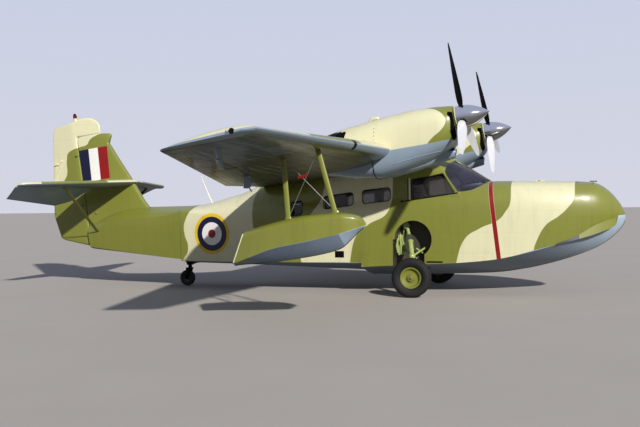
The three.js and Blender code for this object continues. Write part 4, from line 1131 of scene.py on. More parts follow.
def room_solid(inset):
    main = cabin_body([[x, y - inset, *rest] for x, y, *rest in CABIN_ROOM], FLOOR_Z, SCREEN_WALL + inset, 3)
    deck = loft([cabin_section([x, y - inset, *rest], FLOOR_Z) for x, y, *rest in DECK_ROOM])
    return carve(main, ("INTERSECT", box(-2, BOW_X - 0.045, -REACH, REACH, 0, 3)), ("UNION", deck))


# Each window's corners as (x, z), from the rear sill round by the front, and its corner radius
WINDOWS = [
    ([(1.79, 1.399), (2.4, 1.471), (2.23, 1.748), (1.785, 1.668)], 0.018),
    ([(1.037, 1.33), (1.452, 1.372), (1.452, 1.56), (1.037, 1.52)], 0.05),
    ([(0.434, 1.256), (0.887, 1.312), (0.887, 1.497), (0.434, 1.44)], 0.05),
    ([(-0.098, 1.155), (0.082, 1.18), (0.082, 1.383), (-0.098, 1.36)], 0.04),
]


def window_outline(window, grow=0.0):
    corners, radius = window
    ways = ((-1, -1), (1, -1), (1, 1), (-1, 1))
    return rounded([(x + grow * u, z + grow * v) for (x, z), (u, v) in zip(corners, ways)], radius + grow)


def window_cuts():
    return [prism(window_outline(row), -0.76, -0.38) for row in WINDOWS]


# The opening of the windscreen's starboard pane, from ahead (y, z) and from the side (x, z)
SCREEN_AHEAD = [(-0.012, 1.45), (-0.648, 1.45), (-0.648, 1.65), (-0.638, 1.724), (-0.614, 1.78),
                (-0.54, 1.835), (-0.44, 1.885), (-0.341, 1.915), (-0.173, 1.95), (-0.012, 1.962)]
SCREEN_SIDE = [(2.444, 1.484), (2.5, 1.487), (2.556, 1.493), (2.612, 1.503), (2.666, 1.52), (2.719, 1.545),
               (2.772, 1.573), (2.817, 1.602), (2.842, 1.63), (2.842, 2.1), (2.024, 2.1)]


def screen_cut():
    block = loft([[(x, y, z) for y, z in SCREEN_AHEAD] for x in (2.15, 3.0)])
    return kept(block, prism(SCREEN_SIDE, -0.8, 0.1))


def sunk(hull, depth):
    """The hull with its skin moved in by about a depth"""
    squeeze = Matrix.Diagonal((1, 1 - depth / 0.6, 1, 1))
    return moved(hull, Matrix.Translation((0, 0, -depth)) @ squeeze)


def split_z(x):
    return 1.635 + 0.135 * (x - 1.25)


@once
def blanks():
    """Every blank that the hull's pieces are cut from"""
    hull = hull_solid()
    cabin = cabin_body(CABIN, CABIN_FOOT, 0.0)
    outer = carve(hull, ("UNION", cabin))
    wing = wing_solid(GAP, -0.005)
    wells = []
    for side in (-1, 1):
        centre = [(WELL.x, side * y, WELL.z) for y in (WELL.in_y, WELL.out_y)]
        round_part = bar(*centre, WELL.r, sides=64)
        low_y, high_y = sorted((side * WELL.in_y, side * (WELL.out_y + 0.06)))
        leg_way = box(WELL.x0, WELL.x1, low_y, high_y, 0.3, WELL.z)
        wells.append(carve(round_part, ("UNION", leg_way)))
    housing = box(WELL.x - 0.31, WELL.x + 0.31, -0.8, -WELL.in_y + 0.02, 0.5, 1.12)
    room = cut(room_solid(0.0), housing, mirrored(housing))
    shell = cut(outer, room, wing, mirrored(wing), *wells)
    return {"hull": hull, "outer": outer, "room": room, "shell": shell, "wells": wells, "wing": wing}


def in_wells(centres):
    """Faces of the wheel wells"""
    x, y, z = centres.T
    round_part = np.hypot(x - WELL.x, z - WELL.z) < WELL.r + 0.001
    leg_way = (x > WELL.x0 - 0.001) & (x < WELL.x1 + 0.001) & (z < WELL.z)
    return (round_part | leg_way) & (np.abs(y) > WELL.in_y - 0.001) & (z > 0.3)


def lined(centres, normals):
    """Material 1 on faces that look inwards, and on the wheel wells as painted shade; 0 on the outer skin"""
    inward = centres[:, 1] * normals[:, 1] + (centres[:, 2] - 1.25) * normals[:, 2] < -0.12
    return (inward & (np.abs(normals[:, 0]) < 0.75)) | in_wells(centres)


def knuckle(pin, along, reach, start):
    """One knuckle of a hinge, and the leaf that carries it"""
    x, y, z = pin
    x0, x1, y0, y1, z0, z1 = reach
    end = start + KNUCKLE.length
    ends = [(x, y, d) if along == "z" else (x, d, z) for d in (start, end)]
    leaf = box(x0, x1, y0, y1, start, end) if along == "z" else box(x0, x1, start, end, z0, z1)
    return join(bar(*ends, KNUCKLE.radius, sides=12), leaf)


def hits_on(shape, origins, direction):
    """Where rays meet a shape: points and normals, or None for each ray"""
    tree = BVHTree.FromPolygons(shape[0].tolist(), shape[1])
    found = []
    for origin in origins:
        point, normal, _, _ = tree.ray_cast(Vector(origin), Vector(direction))
        found.append((point, normal) if point else None)
    return found


def points_on(shape, origins, direction):
    """Where rays meet a shape: the points alone, without the rays that miss it"""
    return [tuple(hit[0]) for hit in hits_on(shape, origins, direction) if hit]


def laid_strip(shape, outline, side, radius, flat=0.6):
    """A bead that follows an outline of (x, z) on a hull side"""
    return closed_tube(points_on(shape, [(x, side * RAY_Y, z) for x, z in outline], (0, -side, 0)), radius, flat)


def closed_tube(path, radius, flat=1.0, sides=8):
    """A bead around a closed path"""
    path = np.array(path)
    along = np.roll(path, -1, 0) - np.roll(path, 1, 0)
    verts = []
    for point, d in zip(path, along):
        d = d / np.linalg.norm(d)
        out = np.array((0, np.sign(point[1]) or 1.0, 0))
        out = out - d * (out @ d)
        out = out / np.linalg.norm(out)
        side = np.cross(d, out)
        for k in range(sides):
            a = k * 2 * pi / sides
            verts.append(point + radius * (cos(a) * side + flat * sin(a) * out))
    return hoop(verts, len(path))


class FLYINGBOAT_OT_hull(bpy.types.Operator):
    """Builds the bow, bottom, cabin sides, roof and rear of the hull"""
    bl_idname = "flyingboat.hull"
    bl_label = "Hull"

    def execute(self, context):
        b = blanks()
        outer, shell = b["outer"], b["shell"]
        finish = [hull_paint(), cabin_trim()]
        pocket = box(HATCH.x0 + 0.03, HATCH.x1 - 0.03, -0.21, 0.21, 1.18, 1.8)
        rebate = box(HATCH.x0 - 0.006, HATCH.x1 + 0.006, -0.241, 0.241, HATCH.z, 1.8)
        bow = cut(kept(outer, box(BOW_X + GAP, 4.8, -REACH, REACH, 0, 1.8)), pocket, rebate)
        leaf = (HATCH.x0 - 0.06, HATCH_PIN[0], 0, 0, 1.59, HATCH_PIN[2])
        for y in (-0.11 + GAP, 0.15 + GAP):
            bow = join(bow, knuckle(HATCH_PIN, "y", leaf, y))
        piece("bow_shell", bow, finish, ROOT, "camouflage_paint", ["bow_hull"],
              pick=lambda c, n: (c[:, 2] < HATCH.z + 0.002) & (np.abs(c[:, 1]) < 0.2105)
              & (c[:, 0] > 3.585) & (c[:, 0] < 4.055) & (c[:, 2] > 1.1795))

        bottom = kept(outer, box(AFT_X, BOW_X, -REACH, REACH, 0, FLOOR_Z - GAP))
        floor = box(-1.0, 0.2, -0.4, 0.4, FLOOR_Z - 0.02, FLOOR_Z + 0.006)
        bottom = carve(cut(bottom, *b["wells"]), ("UNION", floor))
        # The cabin floor takes the trim; the wheel wells take it as painted shade
        piece("bottom_shell", bottom, finish, ROOT, "sky_paint", ["hull_bottom"],
              pick=lambda c, n: ((c[:, 2] > FLOOR_Z - 0.001) & (n[:, 2] > 0.9)) | in_wells(c))

        length = box(AFT_X, BOW_X, -REACH, REACH, 0, 3)
        below = prism([(AFT_X - 0.06, FLOOR_Z), (BOW_X, FLOOR_Z), (BOW_X, split_z(BOW_X)),
                       (AFT_X - 0.06, split_z(AFT_X - 0.06))], -REACH, REACH)
        walls = kept(shell, length, below)
        screen = screen_cut()
        starboard = cut(kept(walls, box(-6, 6, -0.9, -GAP / 2, 0, 3)), screen, *window_cuts())
        piece("starboard_cabin_side", starboard, finish, ROOT, "camouflage_paint",
              ["cabin_side_starboard"], pick=lined)
        port = kept(walls, box(-6, 6, GAP / 2, 0.9, 0, 3))
        port = cut(port, mirrored(screen), *[mirrored(w) for w in window_cuts()])
        doorway = box(DOOR.x0 - DOOR_GAP, DOOR.x1 + DOOR_GAP, 0.3, 0.8, DOOR.z0 - DOOR_GAP,
                      DOOR.z1 + DOOR_GAP)
        port = cut(port, doorway)
        for z in (0.94 + GAP, 1.19 + GAP):
            leaf = (DOOR.x1 + DOOR_GAP, DOOR.x1 + 0.06, 0.6, DOOR_PIN[1], 0, 0)
            port = join(port, knuckle(DOOR_PIN, "z", leaf, z))
        piece("port_cabin_side", port, finish, ROOT, "camouflage_paint", ["cabin_side_port"], pick=lined)

        above = prism([(AFT_X, split_z(AFT_X) + GAP), (BOW_X, split_z(BOW_X) + GAP), (BOW_X, 2.4), (AFT_X, 2.4)],
                      -REACH, REACH)
        roof = cut(kept(shell, length, above), screen, mirrored(screen))
        piece("roof_shell", roof, finish, ROOT, "camouflage_paint", ["cabin_roof"], pick=lined)

        socket = bar((-2.13, 0, 0.3), (-2.13, 0, 0.5403), 0.0303, sides=32)
        rear_x = RUDDER_NOSE + 0.009
        behind = prism([(rudder_x(0.3) + rear_x, 0.3), (rudder_x(1.6) + rear_x, 1.6), (-5.0, 1.6), (-5.0, 0.3)],
                       -0.3, 0.3)
        tail = kept(outer, box(-4.8, AFT_X - GAP, -REACH, REACH, 0, 3))
        tail = cut(tail, b["wing"], mirrored(b["wing"]), behind, socket)
        piece("rear_shell", tail, hull_paint(), ROOT, "camouflage_paint", ["tail_hull"])
        self.trim(b)
        return {"FINISHED"}

    def trim(self, b):
        """Spray rails with their doublers, and the keel strip"""
        rows = finer(HULL_AHEAD, 6)[::-1]
        chine_y = curve_value([(row[0], row[2]) for row in rows])
        chine_z = curve_value([(row[0], row[3]) for row in rows])
        low = curve_value(CHINE_LINE)

        def rail(x0, x1):
            sections = []
            for x in np.linspace(x1, x0, 26):
                y, z = chine_y(x) + 0.004, chine_z(x) + 0.012
                foot = min(low(x), z - 0.02)
                out = y + 0.016
                sections.append([(x, 0.02 - y, z + 0.004), (x, -y - 0.004, z), (x, -out, foot),
                                 (x, 0.01 - out, foot)])
            return loft(sections)
        for name, ends, paint, slot in (("spray_rails", (4.105, 4.6), plain_paint("olive"), "camouflage_paint"),
                                        ("spray_rail_doublers", (3.803, 4.102), cast_metal(), "cast_metal")):
            piece(name, both_sides(rail(*ends)), paint, ROOT, slot)
        keel = [(row[0], 0.0, row[1] + 0.004) for row in finer(HULL_AHEAD, 6)[2:]]
        piece("keel_strip", tube(keel, 0.009, 8), bare_metal(), ROOT, "bare_metal")


class FLYINGBOAT_OT_bow_hatch(bpy.types.Operator):
    """Builds the hatch in the foredeck, with its handle"""
    bl_idname = "flyingboat.bow_hatch"
    bl_label = "Bow hatch"

    def execute(self, context):
        lid = kept(blanks()["outer"], box(HATCH.x0, HATCH.x1, -HATCH.half_y, HATCH.half_y,
                                          HATCH.z + GAP, 1.8))
        leaf = (HATCH_PIN[0], HATCH.x0 + 0.06, 0, 0, 1.59, HATCH_PIN[2])
        for y in (-0.15, 0.11):
            lid = join(lid, knuckle(HATCH_PIN, "y", leaf, y))
        piece("bow_hatch_lid", lid, hull_paint(), "bow_hatch", "camouflage_paint", ["bow_hatch"])
        latch = tube([(4.035, -0.03, 1.612), (4.035, 0.03, 1.612)], 0.005, 8)
        piece("bow_hatch_latch", latch, bare_metal(), "bow_hatch", "bare_metal")
        return {"FINISHED"}


class FLYINGBOAT_OT_entry_door(bpy.types.Operator):
    """Builds the entry door on the port side, with its handle"""
    bl_idname = "flyingboat.entry_door"
    bl_label = "Entry door"

    def execute(self, context):
        door = kept(blanks()["shell"], box(DOOR.x0, DOOR.x1, 0.3, 0.8, DOOR.z0, DOOR.z1))
        for z in (0.9, 1.15):
            leaf = (DOOR.x1 - 0.06, DOOR.x1 - 0.0005, 0.6, DOOR_PIN[1], 0, 0)
            door = join(door, knuckle(DOOR_PIN, "z", leaf, z))
        piece("entry_door_panel", door, [hull_paint(), cabin_trim()], "entry_door", "camouflage_paint",
              ["entry_door"], pick=lined)
        out = hits_on(door, [(-0.86, 1.5, 1.08)], (0, -1, 0))[0][0]
        lever = tube([(out.x, out.y - 0.003, out.z), (out.x, out.y + 0.018, out.z),
                      (out.x + 0.09, out.y + 0.022, out.z)], [0.012, 0.01, 0.007], 10)
        piece("entry_door_lever", lever, bare_metal(), "entry_door", "bare_metal")
        return {"FINISHED"}


class FLYINGBOAT_OT_glazing(bpy.types.Operator):
    """Builds the panes, their rubber mouldings, and the rails and posts of the sliding windows"""
    bl_idname = "flyingboat.glazing"
    bl_label = "Glazing"

    def execute(self, context):
        b = blanks()
        thick = sizes().glass_thickness
        strip = cut(room_solid(GAP), room_solid(thick + 0.002))
        strip = kept(strip, box(-0.2, 2.385, -0.9, -0.5, 1.0, 1.8))
        frames = [prism(window_outline(row, 0.016), -0.9, -0.3) for row in WINDOWS]
        panes = join(*[kept(strip, frame_part) for frame_part in frames])
        depth = 0.004
        outer_glass = carve(cabin_body(CABIN, CABIN_FOOT, depth), ("UNION", sunk(b["hull"], depth)))
        wider = [[x, y + 0.0005, z, r + 0.0005, p] for x, y, z, r, p in CABIN]
        inner_glass = carve(cabin_body(wider, CABIN_FOOT - 0.01, depth + thick),
                            ("UNION", sunk(b["hull"], depth + thick)))
        screen = kept(cut(outer_glass, inner_glass), screen_cut())
        pair("window_panes", panes, glass("clear"), ROOT, "window_glass", ["side_glass"])
        pair("windscreen_pane", screen, glass("tinted"), ROOT, "window_glass", ["windscreen"])
        for side, sign in SIDES.items():
            mouldings = [laid_strip(b["outer"], window_outline(row, 0.004), sign, sizes().moulding)
                         for row in WINDOWS]
            piece(f"{side}_window_mouldings", join(*mouldings), rubber(), ROOT, "tyre_rubber")
        self.side_rails(b)
        return {"FINISHED"}

    def side_rails(self, b):
        """The sliding windows' rails and posts"""
        rails, strips, posts = [], [], []
        for side in (-1, 1):
            for ends, radius, kind in (([(1.626, 1.353), (2.447, 1.468)], 0.0085, rails),
                                       ([(1.722, 1.372), (1.722, 1.7)], 0.0065, strips),
                                       ([(1.768, 1.385), (1.768, 1.69)], 0.0065, strips),
                                       ([(1.745, 1.378), (1.745, 1.695)], 0.015, posts)):
                (x0, z0), (x1, z1) = ends
                origins = [(x0 + (x1 - x0) * t, side * RAY_Y, z0 + (z1 - z0) * t) for t in np.linspace(0, 1, 14)]
                path = points_on(b["outer"], origins, (0, -side, 0))
                kind.append(tube(path, radius, 8, 0.5, across=(1, 0, 0) if x0 == x1 else (0, 0, 1)))
            rails.append(ball((1.628, side * 0.672, 1.356), 0.016))
        piece("side_window_rails", join(*rails), black_paint(), ROOT, "black_paint")
        piece("side_window_strips", join(*strips), rubber(), ROOT, "tyre_rubber")
        piece("side_window_posts", join(*posts), plain_paint("cream"), ROOT, "cream_paint")


# Wing

WING = Sizes(le_x=1.74, le_z=2.05, te_x=-0.62, break_y=1.9, tip_le_x=1.5, tip_te_x=0.53,
        tip_y=5.96, thickness=0.15, tip_thickness=0.11, camber=0.02, pitch=10.5)
SLOPE = tan(radians(WING.pitch))
HALF_SPAN = 6.096
FLAP = Sizes(y0=0.78, y1=3.8, hinge_x0=-0.272, hinge_x1=0.317)
AILERON = Sizes(y0=3.83, y1=5.72, hinge_x0=0.326, hinge_x1=0.691)
RUN = 0.008
END_RUN = 0.014
TRAILING_HALF = 0.003
TIP = Sizes(start=5.98, thinnest=0.2, inset=0.1)
CHORD_SHARES = (1 - np.cos(np.linspace(pi, 0, 19))) / 2


def wing_at(y):
    out = max(0.0, abs(y) - WING.break_y) / (WING.tip_y - WING.break_y)
    le = WING.le_x + (WING.tip_le_x - WING.le_x) * out
    te = WING.te_x + (WING.tip_te_x - WING.te_x) * out
    return le, te, le - te, WING.thickness + (WING.tip_thickness - WING.thickness) * out


def chord_z(x, y):
    return WING.le_z - SLOPE * (wing_at(y)[0] - x)


def skin_height(y, f, side):
    """Height of the skin above the chord line at a share f of the chord"""
    _, _, chord, thickness = wing_at(y)
    half = 5 * thickness * (0.2969 * sqrt(f) - 0.126 * f - 0.3516 * f ** 2 + 0.2843 * f ** 3
                            - 0.1015 * f ** 4)
    return chord * (WING.camber * 4 * f * (1 - f) + side * half)


def wing_section(y, grow, share=1.0, inset=0.0):
    le, _, chord, _ = wing_at(y)

    def at(f, side):
        x = le - inset - f * (chord - inset * 1.5)
        half = skin_height(y, f, side) + side * (TRAILING_HALF if f == 1 else 0)
        ahead = -grow if f == 1 else grow * max(0, 1 - f * 30)
        return (x + ahead, y, chord_z(x, y) + half * share + side * grow)
    return [at(f, 1) for f in CHORD_SHARES] + [at(f, -1) for f in CHORD_SHARES[::-1][1:]]


def wing_solid(grow, y0=0.0):
    """Half a wing, with a bullnose around its square tip"""
    sections = []
    for y in (y0, 0.4, 0.8, 1.2, 1.6, 1.9, 2.4, 3.0, 3.6, 4.2, 4.8, 5.3, 5.7, 5.88, TIP.start, 6.01, 6.035, 6.055,
              6.07, 6.082, 6.091, HALF_SPAN):
        t = max(0.0, (y - TIP.start) / (HALF_SPAN - TIP.start))
        sections.append(wing_section(-y, grow, max(TIP.thinnest, sqrt(1 - t * t)), TIP.inset * t ** 2.3))
    return loft(sections)


def hinge_x(part, y):
    return part.hinge_x0 + (part.hinge_x1 - part.hinge_x0) * (y - part.y0) / (part.y1 - part.y0)


def hinge_radius(part, y):
    le, _, chord, _ = wing_at(y)
    f = (le - hinge_x(part, y)) / chord
    return (skin_height(y, f, 1) - skin_height(y, f, -1)) / 2


def hinge_point(part, y):
    x = hinge_x(part, y)
    le, _, chord, _ = wing_at(y)
    f = (le - x) / chord
    return x, -y, chord_z(x, y) + (skin_height(y, f, 1) + skin_height(y, f, -1)) / 2


def span_stations(part, inset, steps=10):
    ends = [part.y0 + inset, part.y1 - inset]
    stations = list(np.linspace(*ends, steps))
    if ends[0] < WING.break_y < ends[1]:
        stations = sorted(stations + [WING.break_y])
    return stations


def control_surface(part):
    """A flap or aileron: a round nose about its hinge, and the wing's own curves behind it"""
    sections = []
    for y in span_stations(part, END_RUN):
        le, te, chord, _ = wing_at(y)
        r = hinge_radius(part, y)
        x, _, z = hinge_point(part, y)
        f_hinge = (le - x) / chord
        shares = np.linspace(1, f_hinge, 7)[1:-1]

        def skin_line(side):
            return [(le - f * chord, -y, chord_z(le - f * chord, y) + skin_height(y, f, side)) for f in shares]
        nose = [(x + r * cos(a), -y, z + r * sin(a)) for a in np.linspace(pi / 2, -pi / 2, 15)]
        edge_z = chord_z(te, y)
        sections.append([(te, -y, edge_z - TRAILING_HALF), (te, -y, edge_z + TRAILING_HALF)] + skin_line(1)
                        + nose + skin_line(-1)[::-1])
    return loft(sections)


def control_bay(part):
    """The space that a control surface moves in"""
    front = [(hinge_x(part, y) + hinge_radius(part, y) + RUN, -y) for y in span_stations(part, 0.0)]
    outline = front + [(-1.2, -part.y1), (-1.2, -part.y0)]
    return loft([[(x, y, z) for x, y in outline] for z in (1.2, 2.5)])


def beads_on(shape, lines, radius, flat=0.5, direction=(0, 0, 1)):
    """Stiffening beads along lines of (x, y) on a lower skin"""
    out = []
    for line in lines:
        origins = [(x, y, RAY_LOW if direction[2] > 0 else RAY_HIGH) for x, y in line]
        path = points_on(shape, origins, direction)
        if len(path) > 1:
            out.append(tube(path, radius, 6, flat, across=(1, 0, 0)))
    return join(*out)


def chordwise_lines(part, shares, inset=0.05, steps=9):
    """Lines along a control surface at shares of the way from its hinge to its trailing edge"""
    ys = np.linspace(part.y0 + inset, part.y1 - inset, steps)
    return [[(hinge_x(part, y) + (wing_at(y)[1] - hinge_x(part, y)) * s, -y) for y in ys] for s in shares]


class FLYINGBOAT_OT_wings(bpy.types.Operator):
    """Builds both halves of the wing, with the beads and fairings of their lower skins and their lamps"""
    bl_idname = "flyingboat.wings"
    bl_label = "Wings"

    def execute(self, context):
        wing = cut(wing_solid(0.0, GAP), control_bay(FLAP), control_bay(AILERON))
        lines = []
        for k in range(7):
            x0, x1 = 1.28 - k * 0.105, 1.2 - k * 0.075
            lines.append([(x0 + (x1 - x0) * t, -(4.15 + 1.5 * t)) for t in np.linspace(0, 1, 9)])
        for k in range(9):
            x0, x1 = 1.42 - k * 0.15, 1.36 - k * 0.13
            front = max(x1, hinge_x(FLAP, 3.7) + 0.16)
            lines.append([(max(x0 + (front - x0) * t, hinge_x(FLAP, 2.1 + 1.65 * t) + 0.17), -(2.1 + 1.65 * t))
                          for t in np.linspace(0, 1, 7)])
        beads = beads_on(wing, lines, 0.0055)
        pair("wing_skin", wing, wing_paint(), ROOT, "camouflage_paint", ["wing"], sharp=38)
        pair("wing_beads", beads, wing_paint(), ROOT, "sky_paint")
        self.lamps(wing)
        outer, inner = self.fairings()
        pair("wing_fairing", outer, plain_paint("bright_sky"), ROOT, "sky_paint")
        pair("aileron_fairing", inner, plain_paint("bright_sky"), "*_aileron", "sky_paint")
        return {"FINISHED"}

    def lamps(self, wing):
        """Landing light in the leading edge, and the round light and small lamp at the tip"""
        band = loft([wing_section(-y, 0.0016) for y in (3.208, 3.304)])
        cover = kept(band, box(1.612, 2.0, -3.4, -3.1, 1.8, 2.3))
        pair("landing_light", cover, black_paint(), ROOT, "black_paint")
        for name, x, profile, sides, finish, slot in (
                ("tip_light", 1.3, [(0, -0.02), (0.026, -0.02), (0.026, 0.003), (0.022, 0.006), (0, 0.006)], 28,
                 black_paint(), "black_paint"),
                ("tip_lamp", 1.255, [(0, -0.02), (0.017, -0.02), (0.018, 0.0), (0.012, 0.004), (0, 0.005)], 20,
                 glass("lamp"), "window_glass")):
            spot = hits_on(wing, [(x, -6.5, chord_z(x, 6.05) + 0.012)], (0, 1, 0))[0][0]
            pair(name, lathe(profile, sides, axis_matrix(spot, (0.15, -1, 0.1))), finish, ROOT, slot)

    def fairings(self):
        """A raised strip that runs off the wing's lower skin onto the aileron's and ends in a hook"""
        spots = {"outer": [(0.945, 5.625), (0.842, 5.4), (0.723, 5.11), (0.64, 4.92)],
                 "inner": [(0.588, 4.826), (0.505, 4.62), (0.409, 4.385), (0.3, 4.11), (0.252, 3.99),
                           (0.24, 3.925), (0.252, 3.882), (0.292, 3.864), (0.345, 3.858)]}
        made = []
        for name, line in spots.items():
            line = np.array(line)
            fine = smooth_through(np.linspace(0, 1, len(line)), line, np.linspace(0, 1, 26))
            path = []
            for x, y in fine:
                le, _, chord, _ = wing_at(y)
                path.append((x, -y, chord_z(x, y) + skin_height(y, (le - x) / chord, -1) + 0.002))
            widths = np.full(len(path), 0.04)
            if name == "inner":
                widths[-8:] = np.linspace(0.04, 0.012, 8)
            else:
                widths[:4] = np.linspace(0.02, 0.04, 4)
            made.append(tube(path, widths, 12, 0.18, across=(1, 0, 0)))
        return made


class FLYINGBOAT_OT_wing_controls(bpy.types.Operator):
    """Builds the flaps and ailerons, with their beads and brackets"""
    bl_idname = "flyingboat.wing_controls"
    bl_label = "Flaps and ailerons"

    def execute(self, context):
        for name, part, shares in (("flap", FLAP, (0.1, 0.24, 0.38, 0.52, 0.66, 0.8)),
                                   ("aileron", AILERON, (0.12, 0.27, 0.42, 0.57, 0.72, 0.86))):
            surface = control_surface(part)
            end = GAP + 0.0019
            ends = [(part.y0 + end, part.y0 + 0.06), (part.y1 - 0.06, part.y1 - end)]
            pins = [bar(hinge_point(part, a), hinge_point(part, b), 0.009, sides=12) for a, b in ends]
            lines = chordwise_lines(part, shares)
            beads = join(beads_on(surface, lines, 0.005), beads_on(surface, lines, 0.005, direction=(0, 0, -1)))
            pair(f"{name}_skin", join(surface, *pins), wing_paint(), f"*_{name}", "camouflage_paint", [name],
                 sharp=38)
            pair(f"{name}_beads", beads, wing_paint(), f"*_{name}", "sky_paint")
        y = 2.8
        outline = [(0.035, 1.735), (0.102, 1.735), (0.104, 1.69), (0.16, 1.625), (0.125, 1.58), (0.085, 1.556),
                   (0.03, 1.558), (0.05, 1.64)]
        plate = prism(rounded(outline, 0.01), -y - 0.022, -y + 0.022)
        top = (0.105, -y - 0.005, 1.572)
        rod = join(bar(top, (0.15, -y - 0.03, 1.515), 0.009), ball(top, 0.014, 12))
        pair("flap_bracket", plate, plain_paint("sky"), "*_flap", "sky_paint", bevel=0.003)
        pair("flap_rod", rod, plain_paint("cream"), "*_flap", "cream_paint")
        return {"FINISHED"}


# Nacelles and propellers

ENGINE_Y = abs(JOINTS["starboard_propeller_turn"]["pos_m"][1])
PROP = Sizes(x=JOINTS["starboard_propeller_turn"]["pos_m"][0], z=JOINTS["starboard_propeller_turn"]["pos_m"][2],
        radius=1.018, spinner=0.16, nose=0.358, tail=0.088)
# Columns: x, half width, bottom z, top z, corner power
NACELLE = [
    [2.62, 0.215, 2.24, 2.6, 2.2],
    [2.59, 0.29, 2.15, 2.618, 2.4],
    [2.52, 0.35, 2.06, 2.626, 2.7],
    [2.35, 0.394, 1.955, 2.62, 3.0],
    [2.072, 0.404, 1.83, 2.597, 3.2],
    [1.794, 0.404, 1.735, 2.548, 3.2],
    [1.5, 0.4, 1.672, 2.485, 3.2],
    [1.225, 0.384, 1.672, 2.42, 3.0],
    [0.9, 0.344, 1.708, 2.336, 2.8],
    [0.5, 0.262, 1.752, 2.19, 2.6],
    [0.1, 0.16, 1.762, 2.01, 2.4],
]
SCOOP = [
    [2.55, 0.084, 1.932, 2.068, 2.2],
    [2.3, 0.118, 1.858, 2.08, 2.4],
    [2.0, 0.19, 1.764, 1.96, 2.6],
    [1.7, 0.24, 1.69, 1.9, 2.6],
]
COWL = 0.02
# The cooling inlets beside the spinner, from the thrust line, and the outlet in the nacelle's outer side
INLET = Sizes(x=-0.158, y=0.262, half=0.076, z0=-0.3, z1=0.07)
OUTLET = [(0.858, 2.258), (1.112, 2.312), (1.09, 2.215), (1.0, 2.212)]
OUTLET_FLOOR = -ENGINE_Y - 0.285
FIREWALL_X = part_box("starboard_engine")[0].x - GAP


def oval_section(row, shrink=0.0, sides=56):
    x, half_y, z0, z1, power = row
    points = []
    for k in range(sides):
        a = (k + 0.5) / sides * 2 * pi
        c, s = cos(a), sin(a)
        across = copysign(abs(c) ** (2 / power), c) * (half_y - shrink)
        up = copysign(abs(s) ** (2 / power), s) * ((z1 - z0) / 2 - shrink)
        points.append((x, across - ENGINE_Y, (z0 + z1) / 2 + up))
    return points


def thrust(side="starboard"):
    """Turns what is drawn along +X at the origin onto a thrust line"""
    turn = Matrix.Rotation(-radians(WING.pitch), 4, "Y")
    return Matrix.Translation((PROP.x, SIDES[side] * ENGINE_Y, PROP.z)) @ turn


def nacelle_solid():
    outer = loft([oval_section(row) for row in finer(NACELLE, 5)])
    scoop = loft([oval_section(row, sides=40) for row in finer(SCOOP, 5)])
    rows = [list(NACELLE[i]) for i in (2, 3, 4, 5)]
    rows[0][0], rows[-1][0] = 2.47, FIREWALL_X
    room = loft([oval_section(row, COWL, 40) for row in rows])
    duct_rows = [[2.6, *SCOOP[0][1:]], [2.3, 0.084, 1.95, 2.06, 2.2]]
    duct = loft([oval_section(row, 0.014, 40) for row in duct_rows])
    on_line = thrust()
    front = moved(box(-PROP.tail - 0.015, 0.4, -0.6, 0.6, -0.6, 0.6), on_line)
    shaft = moved(lathe([(0, -0.27), (0.062, -0.27), (0.062, 0), (0, 0)], 40), on_line)
    solid = carve(outer, ("UNION", scoop), ("DIFFERENCE", room), ("DIFFERENCE", duct))
    for side in (-1, 1):
        x0, z0, z1 = INLET.x, INLET.z0, INLET.z1
        slot = prism(rounded([(x0, z0), (0.09, z0), (0.09, z1), (x0, z1)], 0.04),
                     side * INLET.y - INLET.half, side * INLET.y + INLET.half)
        solid = cut(solid, moved(slot, on_line))
    solid = cut(solid, prism(OUTLET, -ENGINE_Y - 0.5, OUTLET_FLOOR))
    return cut(solid, front, shaft, blanks()["wing"])


